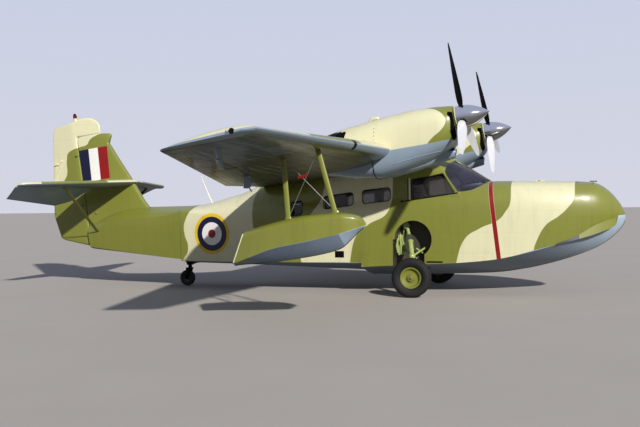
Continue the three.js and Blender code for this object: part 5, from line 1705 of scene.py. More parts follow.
class FLYINGBOAT_OT_nacelles(bpy.types.Operator):
    """Builds the engine nacelles with their scoops, cowling bands, flanges, blisters and latches"""
    bl_idname = "flyingboat.nacelles"
    bl_label = "Nacelles"

    def execute(self, context):
        solid = nacelle_solid()
        # The cowling's inside, its inlets and its outlet take black paint as painted shade
        pair("nacelle_shell", solid, [nacelle_paint(), black_paint()], ROOT, "cream_paint", ["nacelle"], sharp=36,
             pick=self.shaded_inside)
        self.details(solid)
        for side in SIDES:
            refinish(f"{side}_engine", cast_metal())
        return {"FINISHED"}

    def shaded_inside(self, centres, normals):
        """Material 1, black paint as painted shade, on the cowling's inner faces, its cooling inlets and its outlet
        """
        middle = np.interp(centres[:, 0], [0.1, 1.2, 2.0, 2.6], [1.89, 2.05, 2.2, 2.42])
        out = (np.abs(centres[:, 1]) - ENGINE_Y) * np.sign(centres[:, 1]) * normals[:, 1]
        inside = (out + (centres[:, 2] - middle) * normals[:, 2] < -0.05) & (centres[:, 0] > FIREWALL_X - 0.02)
        near = centres.copy()
        near[:, 1] = -np.abs(near[:, 1])
        x, y, z = np.array([thrust().inverted() @ Vector(c) for c in near]).T
        inlets = (x > INLET.x - 0.001) & (z > INLET.z0 - 0.001) & (z < INLET.z1 + 0.001)
        inlets &= np.abs(np.abs(y) - INLET.y) < INLET.half + 0.001
        x, y, z = near.T
        floor = (x > 0.85) & (x < 1.12) & (z > 2.2) & (z < 2.32) & (y > OUTLET_FLOOR - 0.1)
        outlet = floor & ((y > OUTLET_FLOOR - 0.001) | (np.abs(normals[:, 1]) < 0.2)) & (y < -ENGINE_Y - 0.2)
        return inside | inlets | outlet

    def details(self, solid):
        """The scoop's rim, the band, blister and flange of the cowling, and its latches"""
        rim = closed_tube(oval_section([2.551, *SCOOP[0][1:]], 0.007, 40), 0.008)
        pair("scoop_rim", rim, plain_paint("sky"), ROOT, "sky_paint")
        seam_x = 1.505
        rows = finer(NACELLE, 8)
        row = rows[np.argmin(np.abs(rows[:, 0] - seam_x))]
        lower = [p for p in oval_section(row) if p[2] < 2.0]
        lower = sorted(lower, key=lambda p: atan2(p[1] + ENGINE_Y, -(p[2] - 2.1)))
        pair("cowl_band", tube(lower, 0.006, 6), black_paint(), ROOT, "black_paint")
        top = [(x, -ENGINE_Y, z) for x, z in ((1.52, 2.47), (1.48, 2.51), (1.4, 2.506), (1.33, 2.43))]
        pair("top_blister", tube(top, [0.012, 0.034, 0.036, 0.01], 14, 0.8), plain_paint("cream"), ROOT,
             "cream_paint")
        flange = [(x, -3.0, z) for x, z in zip(np.linspace(1.78, 2.4, 12), np.linspace(1.86, 2.02, 12))]
        line = points_on(solid, flange, (0, 1, 0))
        pair("cowl_flange", tube(line, 0.006, 6), plain_paint("sky"), ROOT, "sky_paint")
        latches = points_on(solid, [(1.52, -3.0, z) for z in np.linspace(2.14, 2.34, 5)], (0, 1, 0))
        pair("cowl_latches", join(*[ball(p, 0.009, 8) for p in latches]), bare_metal(), ROOT, "bare_metal")


# Columns: radius, chord, thickness, pitch in degrees
BLADE = [
    [0.05, 0.07, 0.05, 48],
    [0.12, 0.084, 0.044, 46],
    [0.165, 0.098, 0.036, 45],
    [0.23, 0.136, 0.03, 43],
    [0.38, 0.156, 0.02, 38],
    [0.62, 0.15, 0.014, 31],
    [0.85, 0.12, 0.009, 25],
    [0.95, 0.094, 0.007, 23],
    [0.99, 0.07, 0.006, 22],
    [1.01, 0.044, 0.005, 22],
    [PROP.radius, 0.022, 0.004, 22],
]
BLADE_PHASE = {"starboard": 2.0, "port": 13.6}


def blade_solid():
    sections = []
    upper = [(0.5, 0.0), (0.42, 0.24), (0.3, 0.4), (0.12, 0.5), (-0.1, 0.44), (-0.3, 0.26), (-0.5, 0.0)]
    lens = upper + [(u, -0.35 * v) for u, v in upper[1:-1][::-1]]
    for r, chord, thick, pitch in finer(BLADE, 5):
        a = radians(pitch)
        section = []
        for u, v in lens:
            along, out = u * chord, v * thick
            section.append((along * sin(a) + out * cos(a), -along * cos(a) + out * sin(a), r))
        sections.append(section)
    return loft(sections)


class FLYINGBOAT_OT_propellers(bpy.types.Operator):
    """Builds the spinners and the three-bladed propellers"""
    bl_idname = "flyingboat.propellers"
    bl_label = "Propellers"

    def execute(self, context):
        R, tail = PROP.spinner, PROP.tail
        nose = [(R * (1 - u ** 1.9) ** 0.94, -0.01 + (PROP.nose + 0.01) * u) for u in np.linspace(0, 1, 26)[1:-1]]
        outer = lathe([(0, -tail), (R - 0.004, -tail), (R, -tail + 0.004), (R, -0.01)] + nose + [(0, PROP.nose)],
                      72)
        plate_x = 0.046 - tail
        inner = lathe([(0, plate_x), (R - 0.014, plate_x), (R - 0.014, -0.01), (R * 0.9 - 0.014, 0.096),
                       (0, 0.23)], 48)
        hub = lathe([(0, plate_x + GAP), (0.066, plate_x + GAP), (0.066, 0.05), (0, 0.078)], 24)
        blade = blade_solid()
        for side in SIDES:
            on_line = thrust(side)
            turns = [Matrix.Rotation(radians(BLADE_PHASE[side] + 120 * k), 4, "X") for k in range(3)]
            roots = [moved(bar((0, 0, 0.09), (0, 0, 0.29), 0.054, sides=32), turn) for turn in turns]
            spinner = cut(outer, inner, *roots)
            body = f"{side}_propeller"
            piece(f"{side}_spinner_cone", moved(spinner, on_line), polished_metal(), body, "polished_metal",
                  [f"{side}_spinner"], sharp=40)
            blades = join(*[moved(blade, turn) for turn in turns])
            piece(f"{side}_blades", moved(join(hub, blades), on_line), [black_paint(), blade_grey()], body,
                  "black_paint", [f"{side}_propeller_blades"], sharp=50, pick=lambda c, n: n[:, 0] > 0.05)
            cuffs = [moved(ring([(0.05, -0.004), (0.056, -0.004), (0.056, 0.006), (0.05, 0.006)], 32,
                                axis_matrix((0, 0, 0.146), (0, 0, 1))), turn) for turn in turns]
            cuffs = [kept(c, outer) for c in cuffs]
            piece(f"{side}_blade_cuffs", moved(join(*cuffs), on_line), rubber(), body, "tyre_rubber")
            plate = ring([(R - 0.001, -tail + 0.002), (R + 0.004, -tail + 0.002), (R + 0.004, -tail + 0.012),
                          (R - 0.001, -tail + 0.012)], 64)
            piece(f"{side}_spinner_band", moved(plate, on_line), plain_paint("cream"), body, "cream_paint")
        return {"FINISHED"}


# Tail

RUDDER_NOSE = 0.044


def rudder_x(z):
    origin = JOINTS["rudder_swing"]["pos_m"]
    return origin[0] - (z - origin[2]) * FIN_LEAN


FIN_EDGE = [(-2.66, 1.205), (-2.735, 1.236), (-2.85, 1.297), (-2.962, 1.433), (-3.166, 1.759), (-3.419, 2.122),
            (-3.617, 2.418), (-3.6, 2.475), (-3.566, 2.555), (-3.6, 2.582)]
RUDDER_EDGE = [(-3.8, 2.717), (-3.822, 2.76), (-3.853, 2.796), (-3.9, 2.828), (-3.951, 2.85), (-4.0, 2.861),
               (-4.049, 2.866), (-4.11, 2.865), (-4.169, 2.859), (-4.249, 2.833), (-4.33, 2.797), (-4.431, 2.776),
               (-4.553, 2.751), (-4.655, 2.715), (-4.695, 2.69), (-4.717, 2.665), (-4.73, 2.635), (-4.735, 2.6),
               (-4.735, 1.18), (-4.718, 1.123), (-4.597, 0.789), (-4.52, 0.752)]
LUG_Z = (1.35, 2.2)
HORN = Sizes(x=-4.28, z=2.524)
TAIL = Sizes(root_le=-3.09, tip_le=-3.731, tip_y=2.205, root_half=0.06, tip_half=0.034,
        slope=tan(radians(5)), hinge_x=JOINTS["elevator_swing"]["pos_m"][0],
        hinge_z=JOINTS["elevator_swing"]["pos_m"][2])
ELEVATOR = Sizes(inner_y=0.15, r=0.036, fall=tan(radians(31)))


def horn_z(x):
    return HORN.z + FIN_LEAN * (x - HORN.x)


def fin_half(x, z):
    lead = -2.7 - max(z - 1.25, 0) * 0.7
    t = min(max((lead + 0.06 - x) / 0.62, 0.0), 1.0)
    return 0.054 * sqrt(1 - (1 - t) ** 2) + 0.004


def rudder_half(x, z):
    u = x - rudder_x(z)
    if u > 0:
        return 0.043 - min(u / 0.45, 1) * 0.029
    return max(0.0025, 0.043 * (1 - (-u / (rudder_x(z) + 4.745)) ** 1.15) + 0.0025)


def rudder_lugs(grow):
    """Lugs that stand out from the fin and carry the rudder's pins"""
    out = []
    for z in LUG_Z:
        def at(up):
            return (rudder_x(z + up), 0, z + up)
        out.append(bar(at(-0.011 - grow), at(0.011 + grow), 0.062 if grow else 0.03, sides=28))
    return out


class FLYINGBOAT_OT_fin_and_rudder(bpy.types.Operator):
    """Builds the fin and the rudder with its horn, trim tab and beacon"""
    bl_idname = "flyingboat.fin_and_rudder"
    bl_label = "Fin and rudder"

    def execute(self, context):
        rear, top = RUDDER_NOSE + RUN, HORN.x + 0.06
        outline = FIN_EDGE + [(-3.779, horn_z(-3.779) - RUN / 2), (top, horn_z(top) - RUN / 2),
                              (rudder_x(2.4) + rear, 2.4), (rudder_x(0.9) + rear, 0.9), (-3.4, 0.86),
                              (-2.7, 1.0)]
        fin = plate_skin(outline, fin_half, 0.016, 0.055)
        stems = [box(rudder_x(z) - 0.001, rudder_x(z) + 0.09, -0.012, 0.012, z - 0.011, z + 0.011)
                 for z in LUG_Z]
        piece("fin_skin", join(fin, *rudder_lugs(0), *stems), tail_paint(), ROOT, "camouflage_paint", ["fin"])

        outline = [(-3.786, horn_z(-3.786) + RUN / 2)] + RUDDER_EDGE + [
            (rudder_x(0.668) - 0.03, 0.662), (rudder_x(0.69) + RUDDER_NOSE, 0.69),
            (rudder_x(horn_z(top)) + RUDDER_NOSE, horn_z(top)), (HORN.x + 0.104, horn_z(HORN.x + 0.104) + RUN / 2)]
        rudder = plate_skin(outline, rudder_half, 0.026, 0.055)
        rudder = cut(rudder, *rudder_lugs(0.0005))
        piece("rudder_skin", rudder, rudder_paint(), "rudder", "camouflage_paint", ["rudder"])
        self.rudder_fittings()
        self.fin_fittings()
        return {"FINISHED"}

    def rudder_fittings(self):
        tab = plate_skin([(-4.7345, 1.19), (-4.65, 1.19), (-4.65, 2.05), (-4.7345, 2.05)],
                         lambda x, z: rudder_half(x, z) + 0.0022, 0.004, 0.04, 2)
        piece("trim_tab", tab, rudder_paint(), "rudder", "camouflage_paint")
        top, foot = (-4.553, -0.05, 2.125), (-4.7, -0.03, 1.789)
        rod = join(bar(top, foot, 0.009), bar(top, (-4.553, -0.012, 2.13), 0.012), ball(top, 0.014, 12),
                   bar(foot, (-4.7, -0.004, 1.789), 0.011), ball(foot, 0.013, 12))
        piece("trim_rod", rod, plain_paint("cream"), "rudder", "cream_paint")
        outline = [(-4.61, 2.085), (-4.612, 2.062), (-4.715, 2.05), (-4.717, 2.072)]
        horn = prism(rounded(outline, 0.006), -0.034, -0.01)
        piece("trim_horn", horn, plain_paint("cream"), "rudder", "cream_paint", bevel=0.002)
        seat = axis_matrix((-4.272, 0, 2.79), (-0.16, 0, 1))
        stalk = lathe([(0, -0.01), (0.036, -0.01), (0.034, 0.03), (0.028, 0.072), (0, 0.074)], 24, seat)
        piece("beacon_stalk", stalk, plain_paint("cream"), "rudder", "cream_paint")
        profile = [(0, 0.074), (0.032, 0.074), (0.034, 0.105), (0.028, 0.138), (0.015, 0.158), (0, 0.162)]
        dome = lathe(profile, 28, seat)
        piece("beacon", dome, glass("red"), "rudder", "window_glass")

    def fin_fittings(self):
        studs = []
        for side in (-1, 1):
            studs.append(bar((-3.985, side * 0.05, 1.235), (-3.985, side * 0.088, 1.235), 0.011))
            studs.append(tube([(-3.9, side * 0.045, 1.215), (-3.86, side * 0.066, 1.22), (-3.79, side * 0.046,
                1.228)], [0.012, 0.016, 0.008], 10))
            studs.append(bar((-3.62, side * 0.05, 1.29), (-3.62, side * 0.062, 1.29), 0.014))
        piece("fin_fittings", join(*studs), plain_paint("olive"), ROOT, "camouflage_paint")
        gap_strip = [(rudder_x(z) + RUDDER_NOSE + 0.026, -0.052, z) for z in np.linspace(1.0, 0.72, 6)]
        piece("hinge_edge_strip", both_sides(tube(gap_strip, 0.006, 6)), plain_paint("cream"), ROOT, "cream_paint")


def tail_z(x):
    return TAIL.hinge_z + TAIL.slope * (x - TAIL.hinge_x)


def tailplane_solid():
    rear = TAIL.hinge_x + ELEVATOR.r + RUN
    stations = np.array([0.02, 0.3, 0.6, 0.9, 1.2, 1.5, 1.75, 1.9, 2.0, 2.09, 2.13, 2.165, 2.185, 2.197, 2.205])
    rows = smooth_through(np.array([0.0, 2.09, 2.165, 2.19, 2.205]),
                          np.array([(1, 0), (1, 0), (0.87, 0.012), (0.66, 0.028), (0.4, 0.05)], float), stations)
    shares = [0, 0.008, 0.03, 0.07, 0.13, 0.22, 0.35, 0.5, 0.7, 0.85, 1.0]
    sections = []
    for y, (share, back) in zip(stations, rows):
        front = TAIL.root_le + (TAIL.tip_le - TAIL.root_le) * (y / TAIL.tip_y) - back
        half = (TAIL.root_half + (TAIL.tip_half - TAIL.root_half) * (y / TAIL.tip_y)) * share
        length = front - rear

        def thick(f):
            if f < 0.35:
                return half * sqrt(1 - (1 - min(f / 0.35, 1)) ** 2)
            return half * (1 - 0.34 * ((f - 0.35) / 0.65) ** 1.5)
        upper = [(front - f * length, -y, tail_z(front - f * length) + thick(f)) for f in shares]
        lower = [(front - f * length, -y, tail_z(front - f * length) - thick(f)) for f in shares[1:]]
        sections.append(upper + lower[::-1])
    return loft(sections)


# Columns: y, trailing edge x, share of the nose radius. The elevators rest drooped.
ELEVATOR_STATIONS = [
    [ELEVATOR.inner_y, -4.3, 1.0],
    [0.3, -4.368, 1.0],
    [0.45, -4.426, 1.0],
    [0.9, -4.368, 0.95],
    [1.4, -4.304, 0.89],
    [1.9, -4.24, 0.84],
    [1.975, -4.228, 0.8],
    [2.05, -4.085, 0.74],
    [2.14, -3.945, 0.66],
]


def elevator_solid():
    sections = []
    for y, te, share in ELEVATOR_STATIONS:
        end_z = TAIL.hinge_z - ELEVATOR.fall * (TAIL.hinge_x - te)
        r = ELEVATOR.r * share
        x, z = TAIL.hinge_x, TAIL.hinge_z
        nose = [(x + r * cos(a), -y, z + r * sin(a)) for a in np.linspace(pi / 2, -pi / 2, 13)]

        def flank(sign):
            return [(te + (x - te) * t, -y, end_z + (z - end_z) * t + sign * (0.003 + (r - 0.003) * t ** 0.85))
                    for t in (0.2, 0.4, 0.6, 0.8)]
        sections.append([(te, -y, end_z - 0.003), (te, -y, end_z + 0.003)] + flank(1) + nose + flank(-1)[::-1])
    return loft(sections)


class FLYINGBOAT_OT_tailplane(bpy.types.Operator):
    """Builds the tailplane, the elevators and the tail struts, and refinishes the elevators' tube"""
    bl_idname = "flyingboat.tailplane"
    bl_label = "Tailplane and elevators"

    def execute(self, context):
        plane, elevator = tailplane_solid(), elevator_solid()
        ys = np.linspace(0.24, 1.96, 9)
        ribs = []
        for y in ys:
            te = np.interp(y, [row[0] for row in ELEVATOR_STATIONS], [row[1] for row in ELEVATOR_STATIONS])
            spots = [(x, -y) for x in np.linspace(TAIL.hinge_x - 0.02, te + 0.02, 6)]
            for height, direction in ((RAY_LOW, (0, 0, 1)), (RAY_HIGH, (0, 0, -1))):
                path = points_on(elevator, [(x, yy, height) for x, yy in spots], direction)
                ribs.append(tube(path, 0.004, 6, 0.6))
        ends = [(-3.65, -1.3, 1.64), (-3.79, -0.09, 0.862)]
        profile = [(0.034, 0.0), (0.026, 0.009), (0.008, 0.014), (-0.014, 0.011), (-0.034, 0.0), (-0.014, -0.011),
                   (0.008, -0.014), (0.026, -0.009)]
        strut = loft([[(x + dx, y + dy, z) for dx, dy in profile] for x, y, z in ends])
        feet = join(ball(ends[0], 0.026, 12), ball((-3.788, -0.105, 0.872), 0.024, 12))
        pair("tailplane_skin", plane, tailplane_paint(), ROOT, "camouflage_paint", ["tailplane"], sharp=40)
        pair("elevator_skin", join(elevator, *ribs), elevator_paint(), "elevators", "camouflage_paint", ["elevator"],
             sharp=40)
        pair("strut_of_tail", join(strut, feet), plain_paint("olive"), ROOT, "camouflage_paint", ["tail_strut"])
        refinish("elevator_torque_tube", bare_metal())
        return {"FINISHED"}


# Floats

FLOAT_Y = 3.95
# Columns: x, keel z, chine half width, chine z, deck half width, deck z
FLOAT = [
    [1.95, 1.104, 0.012, 1.112, 0.014, 1.14],
    [1.87, 1.042, 0.092, 1.08, 0.096, 1.215],
    [1.79, 0.965, 0.132, 1.052, 0.134, 1.242],
    [1.712, 0.892, 0.156, 1.03, 0.157, 1.254],
    [1.68, 0.868, 0.161, 1.021, 0.16, 1.257],
    [1.54, 0.818, 0.176, 0.99, 0.173, 1.252],
    [1.3, 0.768, 0.195, 0.935, 0.19, 1.233],
    [0.93, 0.712, 0.2, 0.862, 0.18, 1.16],
    [0.64, 0.684, 0.175, 0.762, 0.14, 1.082],
    [0.43, 0.664, 0.13, 0.69, 0.096, 1.01],
    [0.386, 0.656, 0.118, 0.676, 0.088, 0.99],
]
STERN = Sizes(x=0.382, rake=0.354)
FLOAT_STRUTS = [("front", 1.4, 1.607), ("rear", 0.992, 1.05)]
STRUT = Sizes(length=0.062, width=0.026)


def float_solid():
    sections = []
    for x, keel, chine_y, chine_z, deck_y, deck_z in finer(FLOAT, 6):
        half = [(chine_y * s, keel + (chine_z - keel) * s ** 1.2) for s in (0, 0.25, 0.5, 0.75, 1)]
        shoulder = deck_z - (deck_z - chine_z) * 0.3
        half.append(((chine_y + deck_y) / 2, (chine_z + shoulder) / 2))
        half += [(deck_y * c ** 0.62, shoulder + (deck_z - shoulder) * s ** 0.8) for c, s in quarter(9)]
        sections.append([(x, y - FLOAT_Y, z) for x, y, z in mirror_ring(half, lambda y, z: x)])
    stern = prism([(0.2, 0.6), (STERN.x, 0.6), (stern_x(1.103), 1.103), (0.2, 1.103)], -FLOAT_Y - 0.3, -FLOAT_Y + 0.3)
    return cut(loft(sections), stern)


def stern_x(z):
    """The raked stern's face"""
    return STERN.x + (z - 0.6) * STERN.rake


def float_deck(x):
    rows = np.array(FLOAT)[::-1]
    return float(np.interp(x, rows[:, 0], rows[:, 5]))


def streamlined(x, y, z):
    points = []
    for k in range(20):
        a = k / 20 * 2 * pi
        u, v = 0.5 * cos(a), 0.5 * sin(a)
        v *= 1.0 if u > -0.05 else 1 - 0.45 * (abs(u) - 0.05)
        points.append((x + u * STRUT.length, y + v * STRUT.width, z))
    return points


class FLYINGBOAT_OT_floats(bpy.types.Operator):
    """Builds the wing floats, their struts, fittings and bracing wires"""
    bl_idname = "flyingboat.floats"
    bl_label = "Floats"

    def execute(self, context):
        hull = float_solid()
        shrunk = wing_solid(-0.004)
        pair("float_shell", hull, float_paint(), ROOT, "camouflage_paint", ["float"], sharp=28)
        fittings = []
        for name, top_x, foot_x in FLOAT_STRUTS:
            foot = (foot_x, -FLOAT_Y, float_deck(foot_x) - 0.02)
            strut = max_part(cut(loft([streamlined(top_x, -FLOAT_Y, 2.0), streamlined(*foot)]), shrunk))
            collar = loft([streamlined_wide(*foot[:2], foot[2] + h, g) for h, g in
                           ((0.0, 1.5), (0.02, 1.4), (0.035, 1.2), (0.045, 1.05))])
            fittings.append(collar)
            pair(f"{name}_strut", strut, plain_paint("olive"), ROOT, "camouflage_paint", [f"float_strut_{name}"])
        wing_under = 1.86
        (_, front_top, front_foot), (_, rear_top, rear_foot) = FLOAT_STRUTS
        r = sizes().wire_radius
        y = -FLOAT_Y
        beside = y + 0.012
        wires = join(
            bar((front_top - 0.02, y, wing_under + 0.03), (rear_foot, y, float_deck(rear_foot) + 0.01), r),
            bar((rear_top + 0.02, beside, wing_under), (front_foot, beside, float_deck(front_foot) + 0.01), r))
        outline = [(1.17, 1.668), (1.285, 1.694), (1.28, 1.662), (1.175, 1.64)]
        tag = prism(rounded(outline, 0.01), y - 0.006, y - 0.004)
        edge = [(row[0], -FLOAT_Y, row[1] - 0.001) for row in finer(FLOAT, 3)[1:]]
        pair("bracing_wires", wires, bare_metal(), ROOT, "bare_metal")
        pair("strut_feet", join(*fittings), plain_paint("olive"), ROOT, "camouflage_paint")
        # The float's keel strip takes the painted-shade colour of the wing undersides
        pair("float_keel", tube(edge, 0.006, 6), plain_paint("shaded"), ROOT, "sky_paint")
        pair("stern_edge", self.stern_edge(hull), plain_paint("cream"), ROOT, "cream_paint")
        piece("starboard_wire_tag", tag, plain_paint("red"), ROOT, "camouflage_paint")
        return {"FINISHED"}

    def stern_edge(self, hull):
        spots = [(stern_x(z) + 0.005, -5.0, z) for z in np.linspace(0.7, 1.02, 12)]
        return tube(points_on(hull, spots, (0, 1, 0)), 0.007, 8)


def streamlined_wide(x, y, z, grow):
    middle = np.array((x, y, z))
    return [tuple(middle + (np.array(p) - middle) * (grow, grow, 1)) for p in streamlined(x, y, z)]


def max_part(shape):
    """The biggest of the loose bodies in a shape"""
    verts, faces = shape
    parent = list(range(len(verts)))

    def root(i):
        while parent[i] != i:
            parent[i] = parent[parent[i]]
            i = parent[i]
        return i
    for face in faces:
        for i in face[1:]:
            parent[root(i)] = root(face[0])
    owner = np.array([root(i) for i in range(len(verts))])
    best, size = None, -1.0
    for k in set(owner.tolist()):
        points = verts[owner == k]
        extent = float(np.ptp(points, axis=0).sum())
        if extent > size:
            best, size = k, extent
    keep = np.where(owner == best)[0]
    place = {int(i): n for n, i in enumerate(keep)}
    return verts[keep], [tuple(place[i] for i in face) for face in faces if owner[face[0]] == best]


# Undercarriage

WHEEL = Sizes(x=JOINTS["starboard_wheel_turn"]["pos_m"][0], y=abs(JOINTS["starboard_wheel_turn"]["pos_m"][1]),
         radius=JOINTS["starboard_wheel_turn"]["pos_m"][2], width=0.184, hub=0.15)
TAILWHEEL = Sizes(x=JOINTS["tailwheel_turn"]["pos_m"][0], radius=0.13, width=0.078,
             swivel_x=JOINTS["tailwheel_swivel"]["pos_m"][0])


def tyre_profile(r, inner, width, grooves=()):
    """A closed half-section: bead, wall, shoulder and tread with grooves, as (radius, across)"""
    w = width / 2
    wall = [(inner, -w * 0.62), (inner + (r - inner) * 0.18, -w * 0.86), (inner + (r - inner) * 0.45, -w),
            (inner + (r - inner) * 0.72, -w * 0.96), (r * 0.955, -w * 0.8), (r * 0.985, -w * 0.6)]
    tread = []
    for at in sorted(grooves):
        tread += [(r - (at * at) * 0.02, (at - 0.06) * w), (r - 0.008 - (at * at) * 0.02, (at - 0.045) * w),
                  (r - 0.008 - (at * at) * 0.02, (at + 0.045) * w), (r - (at * at) * 0.02, (at + 0.06) * w)]
    other = [(a, -b) for a, b in wall[::-1]]
    return wall + tread + other


def hub_shape():
    """A wheel disc with its rim, its dish and a ring of bolts"""
    r, w = WHEEL.hub, WHEEL.width
    rim = [(0, -w * 0.32), (r * 0.14, -w * 0.32), (r * 0.16, -w * 0.27), (r * 0.32, -w * 0.25), (r * 0.36, -w * 0.14),
           (r * 0.6, -w * 0.11), (r * 0.78, -w * 0.17), (r * 0.82, -w * 0.29), (r * 0.9, -w * 0.345),
           (r - GAP, -w * 0.35), (r - GAP, w * 0.34), (r * 0.8, w * 0.2), (0, w * 0.2)]
    body = lathe(rim, 64, axis_matrix((WHEEL.x, 0, WHEEL.radius), (0, 1, 0)))
    ring_bolts = []
    for k in range(10):
        a = k / 10 * 2 * pi
        x, z = WHEEL.x + 0.047 * cos(a), WHEEL.radius + 0.047 * sin(a)
        ring_bolts.append(bar((x, -w * 0.24, z), (x, -w * 0.285, z), 0.0055, sides=6))
    return join(body, *ring_bolts)


class FLYINGBOAT_OT_undercarriage(bpy.types.Operator):
    """Builds the main wheels and legs, and the tailwheel with its fork"""
    bl_idname = "flyingboat.undercarriage"
    bl_label = "Undercarriage"

    def execute(self, context):
        grooves = np.linspace(-0.5, 0.5, sizes().tread_grooves)
        r, w = WHEEL.radius, WHEEL.width
        across = axis_matrix((WHEEL.x, -WHEEL.y, r), (0, 1, 0))
        tyre = ring(tyre_profile(r, WHEEL.hub, w, grooves), 96, across)
        hub = shifted(hub_shape(), y=-WHEEL.y)
        cap = lathe([(0, -w * 0.37), (0.013, -w * 0.37), (0.018, -w * 0.345), (0.019, -w * 0.3), (0, -w * 0.3)], 24,
                    across)
        leg, chrome, frames = self.leg()
        pair("tyre_rubber", tyre, rubber(), "*_wheel", "tyre_rubber", ["tyre"], sharp=36)
        pair("wheel_disc", hub, plain_paint("olive"), "*_wheel", "camouflage_paint", ["wheel_hub"])
        pair("wheel_cap", cap, bare_metal(), "*_wheel", "bare_metal")
        pair("leg", leg, plain_paint("primer"), ROOT, "cream_paint", ["gear_leg"], sharp=45)
        pair("leg_slider", chrome, bare_metal(), ROOT, "bare_metal")
        pair("well_lining", frames, plain_paint("primer"), ROOT, "cream_paint")
        self.tailwheel()
        return {"FINISHED"}

    def leg(self):
        """The leg, its bright slider, and the frames that show inside the well"""
        axle_z = WHEEL.radius
        inner_y = -(WHEEL.y - WHEEL.width * 0.2 - GAP)
        knuckle_y = -(WHEEL.y - 0.15)
        knuckle_point = (WHEEL.x, knuckle_y, axle_z)
        collar = (1.8, -0.8, 0.56)
        elbow, pivot = (1.748, -0.655, 0.757), (1.655, -WELL.in_y - 0.04, 1.0)
        wall_y = -WELL.in_y - GAP
        parts = [
            bar((WHEEL.x, knuckle_y + 0.03, axle_z), (WHEEL.x, inner_y, axle_z), 0.024, sides=24),
            bar(knuckle_point, collar, 0.03, 0.034, 24),
            bar(collar, elbow, 0.036, 0.036, 24),
            bar(elbow, (1.745, -0.642, 0.776), 0.044, 0.044, 24),
            bar((1.708, -0.57, 0.862), pivot, 0.026, 0.026, 20),
            bar((pivot[0], wall_y, pivot[2]), (pivot[0], wall_y - 0.09, pivot[2]), 0.048, sides=24),
            bar(collar, (1.975, wall_y, 0.7), 0.015, sides=16),
            bar(collar, (1.585, wall_y, 0.66), 0.015, sides=16),
            ball(collar, 0.05, 20), ball(knuckle_point, 0.042, 20),
            bar((WHEEL.x, inner_y + 0.02, axle_z), (WHEEL.x, inner_y + 0.004, axle_z), 0.105, sides=40),
            bar((1.862, -0.8, 0.54), (1.878, -0.88, 0.4), 0.01, sides=10),
            bar((1.878, -0.88, 0.4), (WHEEL.x + 0.02, -0.93, 0.31), 0.01, sides=10),
        ]
        chrome = bar((1.745, -0.642, 0.776), (1.706, -0.566, 0.866), 0.02, sides=20)
        frames = [
            bar((1.6, -0.46, 0.62), (1.62, -0.46, 1.02), 0.02, sides=12),
            bar((1.66, -0.52, 0.6), (1.58, -0.6, 0.88), 0.013, sides=12),
            bar((1.945, -0.5, 0.56), (1.8, -0.5, 0.66), 0.012, sides=12),
            box(1.53, 1.6, -0.5, -0.436, 0.56, 0.86),
            tube([(1.56, -0.655, 0.6), (1.545, -0.665, 0.7), (1.56, -0.66, 0.82)], [0.014, 0.02, 0.012], 10),
            tube([(1.595, -0.62, 0.58), (1.6, -0.64, 0.7), (1.585, -0.62, 0.86)], [0.01, 0.014, 0.01], 10),
        ]
        return join(*parts), chrome, join(*frames)

    def tailwheel(self):
        x, r, w, swivel = TAILWHEEL.x, TAILWHEEL.radius, TAILWHEEL.width, TAILWHEEL.swivel_x
        across = axis_matrix((x, 0, r), (0, 1, 0))
        tyre = ring(tyre_profile(r, 0.055, w, (-0.3, 0.3)), 64, across)
        disc = ring([(0.0105, -w * 0.4), (0.03, -w * 0.4), (0.034, -w * 0.22), (0.055, -w * 0.26), (0.055, w * 0.26),
                     (0.034, w * 0.22), (0.03, w * 0.4), (0.0105, w * 0.4)], 40, across)
        piece("tailwheel_tyre", tyre, rubber(), "tailwheel", "tyre_rubber", ["tailwheel"], sharp=36)
        piece("tailwheel_disc", disc, cast_metal(), "tailwheel", "cast_metal")
        arm_y = w / 2 + RUN
        outline = [(swivel - 0.05, 0.292), (swivel + 0.03, 0.292), (x + 0.026, 0.112), (x - 0.026, 0.112)]
        fork = [lathe([(0, 0), (0.034, 0), (0.034, 0.024), (0.028, 0.0397), (0, 0.0397)], 28,
                      axis_matrix((swivel, 0, 0.29), (0, 0, 1))),
                box(swivel - 0.052, swivel + 0.034, -arm_y - 0.012, arm_y + 0.012, 0.276, 0.3),
                bar((x, -arm_y, r), (x, arm_y, r), 0.01, sides=20)]
        for side in (-1, 1):
            y0, y1 = sorted((side * arm_y, side * (arm_y + 0.012)))
            fork.append(prism(rounded(outline, 0.02), y0, y1))
            fork.append(bar((x, y0, r), (x, y1 + 0.004 if side > 0 else y1, r), 0.024, sides=20))
        piece("tailwheel_fork_arms", join(*fork), black_paint(), "tailwheel_fork", "black_paint",
              ["tailwheel_fork"], bevel=0.002)
        post = join(bar((swivel, 0, 0.33), (swivel, 0, 0.54), 0.03, sides=28),
                    lathe([(0, 0), (0.052, 0), (0.06, 0.03), (0.075, 0.06), (0, 0.06)], 28,
                          axis_matrix((swivel, 0, 0.345), (0, 0, 1))),
                    bar((swivel + 0.06, 0, 0.385), (swivel + 0.22, 0, 0.4), 0.014, sides=12),
                    bar((swivel + 0.03, 0, 0.355), (swivel + 0.16, 0, 0.4), 0.011, sides=12))
        piece("tailwheel_leg", post, black_paint(), ROOT, "cast_metal", ["tailwheel_post"])


# Cabin fittings

